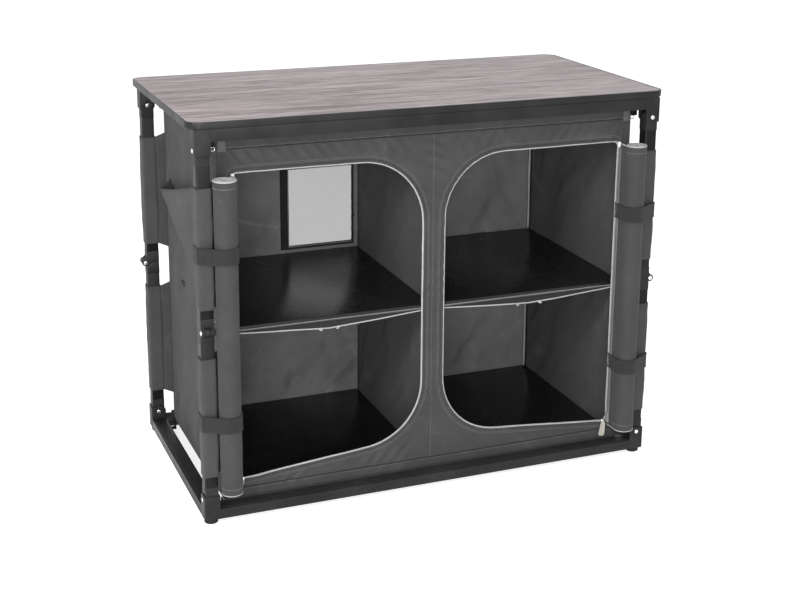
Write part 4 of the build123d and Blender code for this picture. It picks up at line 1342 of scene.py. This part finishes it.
# %% Zip tapes of the doors
def block(bm, centre, size, radius, segments=3):
    """A rounded block added to a bmesh. Returns its vertices."""
    place = Matrix.Translation(centre) @ Matrix.Diagonal((*size, 1))
    made = bmesh.ops.create_cube(bm, size=1, matrix=place)
    result = bmesh.ops.bevel(
        bm,
        geom=list(dict.fromkeys(e for v in made["verts"] for e in v.link_edges)),
        offset=radius,
        segments=segments,
        profile=0.5,
        affect="EDGES",
        material=-1,
        clamp_overlap=True,
    )
    return result["verts"]


def soft_bar(name, centre, size, radius, material):
    """A short rounded bar, pinched a little at its middle."""
    bm = bmesh.new()
    block(bm, centre, size, radius, 4)
    for v in bm.verts:
        pinch = 1 - 0.14 * (1 - abs(v.co.z - centre.z) / (size[2] / 2))
        v.co.x = centre.x + (v.co.x - centre.x) * pinch
        v.co.y = centre.y + (v.co.y - centre.y) * pinch
    lay_uv(bm, 0, 2)
    return pancaked(make_piece(name, bm, material))


TAIL_X = ROLL_X - ROLL_RADIUS + ROLL_CLOTH / 2
DOOR_TAPE_WIDTH = 9 * MM
for side, word in SIDES:
    x = side * (TAIL_X - ROLL_CLOTH / 2 - 0.9 * MM)
    line = []
    for z in spaced(ROLL_LOW + 18 * MM, ROLL_HIGH - 8 * MM, 10 * MM):
        sway = 0.5 * MM * waver(side * 3, 1.0, z * 11)
        line.append(Vector((x + sway, DOOR_CLOTH_Y - 4.5 * MM, z)))
    bm, _ = strip(line, (0, -DOOR_TAPE_WIDTH, 0))
    lay_uv(bm, 1, 2)
    half = make_piece(f"{word}_door_tape", bm, THREAD)
    thickened(half, 1.0 * MM, 0.0)
    rail = tube_along(f"{word}_door_zip", [(line, False)], 1.2 * MM, TAPE)
    head = Vector((x, DOOR_CLOTH_Y - 5 * MM, ROLL_HIGH - 2 * MM))
    foot = Vector((x, DOOR_CLOTH_Y - 7 * MM, ROLL_LOW + 17 * MM))
    TRIMS[f"{word}_door_rolled"] += [
        pancaked(half),
        pancaked(rail),
        soft_bar(f"{word}_zip_head", head, (7 * MM, 9 * MM, 12 * MM), 3 * MM, WHITE),
        soft_bar(f"{word}_zip_foot", foot, (6 * MM, 12 * MM, 22 * MM), 2.6 * MM, TAPE),
    ]
print("zip tapes of the doors made: 2")

# %% [markdown]
# The straps that hold the rolled doors are woven webbing.
#
# A strap starts flat on the outer side of the leg, turns the corner, runs out to the roll,
# goes round it and comes back to the cloth. It is a chain of straight runs and spun arcs,
# raised to the strap's width, with edges that curl a little.

# %% Roll straps
STRAP_WIDTH = 32 * MM
STRAP_THICK = 1.5 * MM
STRAP_GAP = 0.3 * MM
STRAP_STAND_OFF = 15.1 * MM + STRAP_GAP + STRAP_THICK / 2
STRAP_TURN = 3 * MM


def strap_chain(bm, side, z):
    """The line of a strap in plan, from the leg's outer side to the cloth."""
    leg_outer = LEG_X + STRAP_STAND_OFF
    leg_front = MID_Y - LEG_Y - STRAP_STAND_OFF
    radius = ROLL_RADIUS + STRAP_GAP + STRAP_THICK / 2
    away = Vector((leg_outer - ROLL_X, leg_front - ROLL_Y))
    bearing = math.atan2(away.y, away.x) - math.acos(radius / away.length)
    touch = Vector((ROLL_X + radius * math.cos(bearing), ROLL_Y + radius * math.sin(bearing)))
    run = (touch - Vector((leg_outer, leg_front))).normalized()
    bend = math.atan2(run.x, -run.y)
    corner_y = leg_front + STRAP_TURN * 1.2
    start = [MID_Y - LEG_Y + (11 - 4 * i) * MM for i in range(6)]
    start = [y for y in start if y > corner_y] + [corner_y]
    chain, edges = drawn(bm, [(side * leg_outer, y, z) for y in start])
    spun(bm, chain, edges, (side * (leg_outer - STRAP_TURN), corner_y), side * bend, 5)
    carried_on(bm, chain, edges, (side * touch.x, touch.y))
    spun(bm, chain, edges, (side * ROLL_X, ROLL_Y), -side * (bearing + math.pi), 26)
    carried_on(bm, chain, edges, (chain[-1].co.x, DOOR_CLOTH_Y))
    return chain, edges


for side, word in SIDES:
    for z, height_word in zip(STRAP_HEIGHTS, ("lower", "upper")):
        bm = bmesh.new()
        low, high = z - STRAP_WIDTH / 2, z + STRAP_WIDTH / 2
        chain, edges = strap_chain(bm, side, low)
        raised(bm, chain, edges, spaced(low, high, 4 * MM))
        outward_faces(bm, (side * ROLL_X, ROLL_Y))
        bm.normal_update()
        for v in bm.verts:
            curl = 0.5 * MM * ((v.co.z - z) / (STRAP_WIDTH / 2)) ** 4
            sway = 1.3 * MM * waver(v.co.x * 18, v.co.y * 18, z * 9)
            v.co += v.normal * curl
            v.co.z += sway
        strap = make_piece(f"{word}_{height_word}_strap", bm, WEBBING, ["door_straps"])
        thickened(strap, STRAP_THICK, 0.0)
        pancaked(strap)
print("straps made: 4")

# %% [markdown]
# A zip slider with its pull hangs at the lower outer corner of each opening.
#
# The slider is a small block with a pinched waist and a bridge over it. The pull is a flat
# tongue of pale metal with a raised rim. It widens to its foot and hangs from the bridge.

# %% Zip sliders
SLIDER_X = span("zip_sliders", 0)[1] - 4 * MM
SLIDER_Z = span("zip_sliders", 2)[1] - 5.5 * MM
TAPE_FRONT = span("zip_tapes", 1)[0]
BRIDGE_Y = TAPE_FRONT - 4.0 * MM
PULL_RADIUS = 5.0 * MM
PULL_LENGTH = 24 * MM
PULL_LEAN = {"left": math.radians(22), "right": math.radians(7)}

for side, word in SIDES:
    x = side * SLIDER_X
    bm = bmesh.new()
    centre = Vector((x, TAPE_FRONT - 1.7 * MM, SLIDER_Z))
    for v in block(bm, centre, (8.6 * MM, 3.4 * MM, 11.5 * MM), 1.2 * MM):
        share = (v.co.z - SLIDER_Z) / (5.25 * MM)
        v.co.x = x + (v.co.x - x) * (1 - 0.28 * max(0, -share))
    block(bm, Vector((x, BRIDGE_Y, SLIDER_Z)), (1.8 * MM, 1.6 * MM, 7.5 * MM), 0.7 * MM)
    pancaked(make_piece(f"{word}_zip_slider", bm, STEEL, ["zip_sliders"]))
    bm = bmesh.new()
    bmesh.ops.create_circle(bm, cap_ends=True, radius=PULL_RADIUS, segments=28)
    turned(bm, "X")
    for v in bm.verts:
        if v.co.z < 0:
            v.co.z -= PULL_LENGTH
            v.co.x *= 1.5
    bmesh.ops.inset_region(
        bm, faces=bm.faces[:], thickness=1.7 * MM, depth=-0.5 * MM, use_boundary=True, use_even_offset=True
    )
    outward_faces(bm, (0, 1))
    shifted(bm, (x, BRIDGE_Y, SLIDER_Z - 4 * MM))
    turned(bm, "Y", PULL_LEAN[word], (x, BRIDGE_Y, SLIDER_Z))
    pull = make_piece(f"{word}_zip_pull", bm, PULL, ["zip_sliders"])
    thickened(pull, 1.8 * MM, 0.0)
    rounded(pull, 0.45 * MM)
    pancaked(pull)
print("zip sliders made: 2")

# %% [markdown]
# The side pocket is a wedge of cloth sewn to the left wall.
#
# Its plan is a flat U: out from the wall, along, and back. The U grows from the sewn bottom
# to the open mouth. The mouth rises to the front, where it is sewn behind the leg, and its
# rear corner stands out, so the lip bows outward there. The rear gusset is a little higher
# at the wall than at the corner.

# %% Side pocket
POCKET_LOW, POCKET_HIGH = span("side_pocket", 2)
POCKET_FRONT, POCKET_REAR = span("side_pocket", 1)
POCKET_OUTER, POCKET_WALL = span("side_pocket", 0)
POCKET_REAR_HIGH = POCKET_HIGH - 88 * MM
POCKET_OUT = POCKET_WALL - POCKET_OUTER - 1 * MM
POCKET_FOOT_REAR = POCKET_FRONT + 105 * MM
POCKET_FOOT_OUT = 6 * MM
POCKET_FRONT_OUT = 13 * MM


def pocket_point(along, out, rise):
    """A point on the pocket. along is 0 at the front and 1 at the rear, out is 0 at the wall."""
    rear = POCKET_FOOT_REAR + (POCKET_REAR - POCKET_FOOT_REAR) * rise
    mouth = POCKET_HIGH + (POCKET_REAR_HIGH - POCKET_HIGH) * along
    reach = POCKET_FRONT_OUT + (POCKET_OUT - POCKET_FRONT_OUT) * fade(along, 0.1, 0.95)
    reach = POCKET_FOOT_OUT + (reach - POCKET_FOOT_OUT) * rise
    y = POCKET_FRONT + (rear - POCKET_FRONT) * along
    z = POCKET_LOW + (mouth - POCKET_LOW) * rise
    z += 21 * MM * (1 - out) * rise * fade(along, 0.9, 1.0)
    slack = math.sin(math.pi * along) * out
    z -= 6 * MM * slack * rise ** 3
    wave = waver(y * 13, z * 9, 4.0) + 0.5 * waver(y * 30, z * 24, 8.0)
    fold = math.sin(2 * math.pi * (y * 0.8 + z) / 0.085) * waver(y * 8, z * 6, 3.0)
    bulge = (2.0 * wave + 2.2 * fold) * MM * slack - 2.5 * MM * slack * (1 - rise)
    return Vector((POCKET_WALL - reach * out + bulge * 0.8, y, z))


PLAN = [(0.0, i / 6) for i in range(6)]
PLAN += [(i / 56, 1.0) for i in range(57)]
PLAN += [(1.0, 1 - i / 8) for i in range(1, 9)]
bm = bmesh.new()
chain, edges = drawn(bm, [pocket_point(along, out, 0.0) for along, out in PLAN])
rows = raised(bm, chain, edges, spaced(POCKET_LOW, POCKET_HIGH, 6 * MM))
for i, row in enumerate(rows):
    for (along, out), v in zip(PLAN, row):
        v.co = pocket_point(along, out, i / (len(rows) - 1))
lip = [v.co.copy() for v in rows[-1]]
outward_faces(bm, (0, MID_Y))
write_uv(bm, bm.loops.layers.uv.verify(), lambda point: (point.y - point.x, point.z))
flat = (POCKET_REAR - POCKET_FRONT + 2 * POCKET_OUT, POCKET_HIGH - POCKET_LOW)
name = "side_pocket_sewn"
pocket = cloth_piece(
    name, bm, CLOTH, CLOTH_THICKNESS, flat, on=["left_cloth_sewn"], replaced=["side_pocket"]
)
# The inside of the pocket gets the near-black binding cloth: painted shade in the deep pocket.
pocket.data.materials.append(DARK_BINDING_AND_PAINTED_SHADE)
pocket.modifiers["thickness"].material_offset = 1
squashed(pocket)
binding = tube_along("pocket_lip", [(lip, False)], 1.3 * MM, CLOTH)
TRIMS[name].append(squashed(binding))
print("pocket mouth is", round(line_length(lip, False), 3), "m along")

# %% [markdown]
# Each half-way board lies in a sling of cloth between the walls.
#
# The sling's front edge is bound in pale tape and hangs a little slack under the board, and
# two short tie ends stick out at its middle. A second line of tape runs straight along the
# board's lower front edge.

# %% Shelf slings
SLING_TOP = span("shelf_slings", 2)[1]
SLING_FRONT = span("shelf_slings", 1)[0]
SLING_FLAT = (0.876, 0.4394)
SLING_DROP = 18 * MM
SLING_STEPS = 40
INNER_X = span("partition_cloth", 0)[1] + 0.0015
OUTER_X = span("right_cloth", 0)[0] - 0.0015

bm = flat_side("shelf_slings", 2, -1)
cut_grid(bm, (0, 1), 16 * MM)
lay_uv(bm, 0, 1)
for v in bm.verts:
    v.co.z -= 1.2 * MM * max(0.0, waver(v.co.x * 12, v.co.y * 12, 2.0))
walls = ["left_cloth_sewn", "right_cloth_sewn"]
name = "shelf_slings_sewn"
sling = cloth_piece(
    name, bm, INSIDE_PAINTED_LIGHTER, CLOTH_THICKNESS, SLING_FLAT, "stretched", walls, ["shelf_slings"]
)
squashed(sling)
for side, word in SIDES:
    straight, slack = [], []
    for i in range(SLING_STEPS + 1):
        share = i / SLING_STEPS
        x = side * (INNER_X + (OUTER_X - INNER_X) * share)
        dip = (1 - abs(2 * share - 1)) ** 0.85
        sag = 2.2 + (15.0 + 1.6 * waver(x * 12, 1.0, side)) * dip
        straight.append(Vector((x, SLING_FRONT + 2.6 * MM, SLING_TOP + 1.2 * MM)))
        slack.append(Vector((x, SLING_FRONT + 3.2 * MM, SLING_TOP - sag * MM)))
    tube_along(f"{word}_board_edging", [(straight, False)], 1.7 * MM, TAPE, body="mid_boards")
    bm, far = strip(slack, (0, 0, 0))
    for v in far:
        v.co.z = SLING_TOP - 1.0 * MM
    uprights = [e for e in bm.edges if abs(e.verts[0].co.x - e.verts[1].co.x) < MM]
    bmesh.ops.subdivide_edges(bm, edges=uprights, cuts=3)
    lay_uv(bm, 0, 2)
    flat = (OUTER_X - INNER_X, SLING_DROP)
    name = f"{word}_sling_front"
    drop = cloth_piece(name, bm, DARK_BINDING_AND_PAINTED_SHADE, 0.9 * MM, flat, on=["shelf_slings_sewn"], offset=0.0)
    squashed(drop)
    lower = tube_along(f"{word}_sling_binding", [(slack, False)], 1.5 * MM, BINDING)
    ties = []
    for place, lean in ((0.46, -1), (0.54, 1)):
        spot = slack[round(place * SLING_STEPS)]
        curl = [Vector((lean * 1.4 * k, -0.5 * k, -2.0 * k + 0.3 * k * k)) * MM for k in range(6)]
        ties.append(([spot + p for p in curl], False))
        beside = spot + Vector((lean * 2.2, 0.5, 1.2)) * MM
        ties.append(([beside + p for p in curl[:4]], False))
    tie = tube_along(f"{word}_sling_ties", ties, 1.6 * MM, BINDING)
    TRIMS[name] += [squashed(lower), squashed(tie)]
print("slings bound at z =", round(SLING_TOP, 4))

# %% [markdown]
# The rear window is a panel of net inside a dark binding.
#
# Inside the cabinet a broad dark strip runs down beside the net, where its roll-up cover
# is stitched, and the other three sides have a narrow binding. A pale piping marks the
# strip's edge.

# %% Window binding
INSIDE_Y = REAR_Y - 2.2 * MM


def window_frame(name, y, outward, left, right, low_width, high_width):
    """A flat ring of dark cloth round the window, with its own width on each side."""
    bm = upright_patch("X")
    ring_faces = bmesh.ops.inset_region(
        bm, faces=bm.faces[:], thickness=0.2, use_boundary=True, use_even_offset=True
    )["faces"]
    inner = [f for f in bm.faces if f not in set(ring_faces)]
    bmesh.ops.delete(bm, geom=inner, context="FACES")
    for v in bm.verts:
        outer = abs(v.co.x) > 0.9
        reach_x = (left if v.co.x < 0 else right) if outer else -1
        reach_z = (low_width if v.co.z < 0 else high_width) if outer else -1
        x = WINDOW_LOW.x - reach_x * MM if v.co.x < 0 else WINDOW_HIGH.x + reach_x * MM
        z = WINDOW_LOW.z - reach_z * MM if v.co.z < 0 else WINDOW_HIGH.z + reach_z * MM
        v.co = Vector((x, y, z))
    cut_grid(bm, (0, 2), 12 * MM)
    lay_uv(bm, 0, 2)
    for v in bm.verts:
        v.co.y += rear_lift(v.co.x, v.co.z)
    faced(bm, 1, outward)
    piece = make_piece(name, bm, DARK_BINDING_AND_PAINTED_SHADE)
    thickened(piece, 0.8 * MM)
    wall_trim(piece, 1)


def on_rear_inside(x, z):
    """A point just inside the rear cloth, which follows its folds."""
    return Vector((x, INSIDE_Y + rear_lift(x, z) - 0.8 * MM, z))


window_frame("window_binding_inside", INSIDE_Y, -1, 19, 4, 7, 7)
window_frame("window_binding_outside", REAR_Y + 0.9 * MM, 1, 9, 9, 9, 9)
beside_x, below_z = WINDOW_LOW.x - 1 * MM, WINDOW_LOW.z - 1 * MM
border = [on_rear_inside(beside_x, z) for z in spaced(WINDOW_HIGH.z, below_z, 10 * MM)]
border += [on_rear_inside(x, below_z) for x in spaced(WINDOW_LOW.x, WINDOW_HIGH.x, 10 * MM)]
wall_trim(tube_along("window_piping", [(border, False)], 1.1 * MM, TAPE), 1)
print("the window's piping is", round(line_length(border, False), 3), "m long")

# %% [markdown]
# Where the rear cloth meets the side walls, the seam allowance stands up inside the corner
# as a double line of pale piping. It stops where a shelf board lies against it.

# %% Corner seams
SEAM_APART = 7.0 * MM
corner_x = span("right_cloth", 0)[0] - 4.2 * MM
corner_y = span("rear_cloth", 1)[0] - 3.4 * MM
shelf_low, shelf_high = span("mid_board_left", 2)
board_top = span("bottom_board_left", 2)[1]
SEAM_RUNS = (
    (board_top + 3 * MM, shelf_low - 12 * MM),
    (shelf_high + 6 * MM, RAIL_UNDER - 12 * MM),
)
for side, word in SIDES:
    lines = []
    for low_z, high_z in SEAM_RUNS:
        for inward in (0.0, SEAM_APART):
            line = []
            for z in spaced(low_z, high_z, 12 * MM):
                sway = waver(side, z * 6, 1.0) + 0.4 * waver(side, z * 16, 5.0)
                x = side * (corner_x - inward * 0.5 - max(0.0, 1.2 + 1.6 * sway) * MM)
                line.append(Vector((x, corner_y - inward - 0.4 * abs(sway) * MM, z)))
            lines.append((line, False))
    wall_trim(tube_along(f"{word}_corner_seam", lines, 2.2 * MM, BINDING), 1)
print("corner seams sewn: 2")

# %% [markdown]
# Short webbing loops at the corners hold the cabinet out to the frame's hooks.
#
# At the top a small steel ring hangs from each end tab, and at the bottom a loop of black
# webbing droops from the cloth's corner to the hook.

# %% Corner rings and loops
RING_WIRE = 0.9 * MM
RING_RADIUS = 3.9 * MM
RING_X, RING_Z = 445 * MM, 741 * MM
LOOP_WIDTH = 9 * MM


def hook_ring(name, place):
    """A small steel ring that hangs flat against the cloth."""
    bm = bmesh.new()
    bmesh.ops.create_circle(bm, radius=RING_WIRE, segments=10)
    turned(bm, "X")
    shifted(bm, (RING_RADIUS, 0, 0))
    bmesh.ops.spin(
        bm,
        geom=bm.verts[:] + bm.edges[:],
        cent=(0, 0, 0),
        axis=(0, 0, 1),
        angle=2 * math.pi,
        steps=24,
        use_merge=True,
    )
    bmesh.ops.remove_doubles(bm, verts=bm.verts, dist=0.01 * MM)
    bmesh.ops.recalc_face_normals(bm, faces=bm.faces)
    turned(bm, "X")
    shifted(bm, place)
    wall_squashed(make_piece(name, bm, STEEL))


def hook_loop(name, side, y, outward):
    """A loop of webbing that droops from the cloth's bottom corner to the hook."""
    path = []
    for i in range(13):
        share = i / 12
        bow = math.sin(math.pi * share)
        droop = 9 * MM * bow
        z = (0.052 - droop) * (1 - share) + (0.0375 - 0.4 * droop) * share
        off = outward * (1.5 * bow + 0.5) * MM
        path.append(Vector((side * (424 + 20 * share) * MM, y + off, max(z, RAIL_TOP + 1.5 * MM))))
    bm, _ = strip(path, (0, 0, LOOP_WIDTH))
    lay_uv(bm, 0, 2)
    piece = make_piece(name, bm, WEBBING)
    thickened(piece, 1.3 * MM, 0.0)
    wall_squashed(piece)


for side, side_word in SIDES:
    for plane, outward, word in ((FRONT_Y, -1, "front"), (REAR_Y, 1, "rear")):
        y = plane + outward * 2.5 * MM
        place = (side * RING_X, y - outward * 6 * MM, RING_Z)
        hook_ring(f"ring_{word}_{side_word}", place)
        hook_loop(f"loop_{word}_{side_word}", side, y, outward)
print("corner rings and loops made: 8")

# %% [markdown]
# For each sheet of cloth the smaller of its two areas is worked out. A doorway or a wedge
# makes the cut area smaller than the flat size, and folds make the hung area larger, so the
# smaller figure is the cut one.

for piece, area, flat, held, on in SHEETS:
    area = min(area, flat[0] * flat[1])
print("sheets of cloth:", len(SHEETS))

# %% [markdown]
# The last lines light the scene as a studio does: a pale sweep, a broad soft light at the
# front left, a large one above, and a smaller one further round to the left.
#
# The lens and the shines see plain white around the object, while the light on the object
# itself comes from a dimmer sky.

# %% Floor and lights
STUDIO_HALF = 12
FLOOR_GLOW = 0.74
SKY_LIGHT = 0.42
SKY_SEEN = 1.2


def shown_white(tree, lit, brightness):
    """The shader that lights the scene, and plain white where the lens or a shine looks at it."""
    white = node(tree, "Emission", {"Color": (1, 1, 1, 1), "Strength": brightness})
    path = node(tree, "LightPath")
    chooser = node(tree, "MixShader")
    seen = arithmetic(tree, "MAXIMUM", path.outputs["Is Camera Ray"], path.outputs["Is Glossy Ray"])
    join(tree, seen, chooser.inputs["Fac"])
    join(tree, lit, chooser.inputs[1])
    join(tree, white.outputs["Emission"], chooser.inputs[2])
    return chooser.outputs["Shader"]


def soft_light(name, place, target, size, power):
    """A square soft light that faces a target."""
    light = bpy.data.lights.new(name, "AREA")
    light.size = size
    light.energy = power
    lamp = bpy.data.objects.new(name, light)
    lamp.location = place
    lamp.rotation_euler = (Vector(target) - Vector(place)).to_track_quat("-Z", "Y").to_euler()
    bpy.context.scene.collection.objects.link(lamp)


bm = bmesh.new()
bmesh.ops.create_grid(bm, x_segments=1, y_segments=1, size=STUDIO_HALF)
floor_mesh = bpy.data.meshes.new("floor")
bm.to_mesh(floor_mesh)
bm.free()
floor = bpy.data.objects.new("floor", floor_mesh)
floor_material, _, floor_shader = start_material("floor", (0.62, 0.62, 0.62), 0.9)
floor_shader.inputs["Emission Color"].default_value = (1, 1, 1, 1)
floor_shader.inputs["Emission Strength"].default_value = FLOOR_GLOW
floor_mesh.materials.append(floor_material)
bpy.context.scene.collection.objects.link(floor)

world = bpy.data.worlds.new("studio")
world.use_nodes = True
tree = world.node_tree
sky = tree.nodes["Background"]
sky.inputs["Color"].default_value = (1, 1, 1, 1)
sky.inputs["Strength"].default_value = SKY_LIGHT
whitened = shown_white(tree, sky.outputs["Background"], SKY_SEEN)
join(tree, whitened, tree.nodes["World Output"].inputs["Surface"])
bpy.context.scene.world = world
bpy.context.scene.view_settings.view_transform = "Standard"

soft_light("front_light", (-1.5, -4.0, 1.25), (0.1, 0, 0.42), 1.3, 120)
soft_light("top_light", (0.2, -0.6, 3.2), (0, 0, 0.6), 2.4, 60)
soft_light("left_light", (-2.7, -1.9, 2.0), (-0.1, -0.2, 0.45), 1.0, 82)
print("lights set: 3")
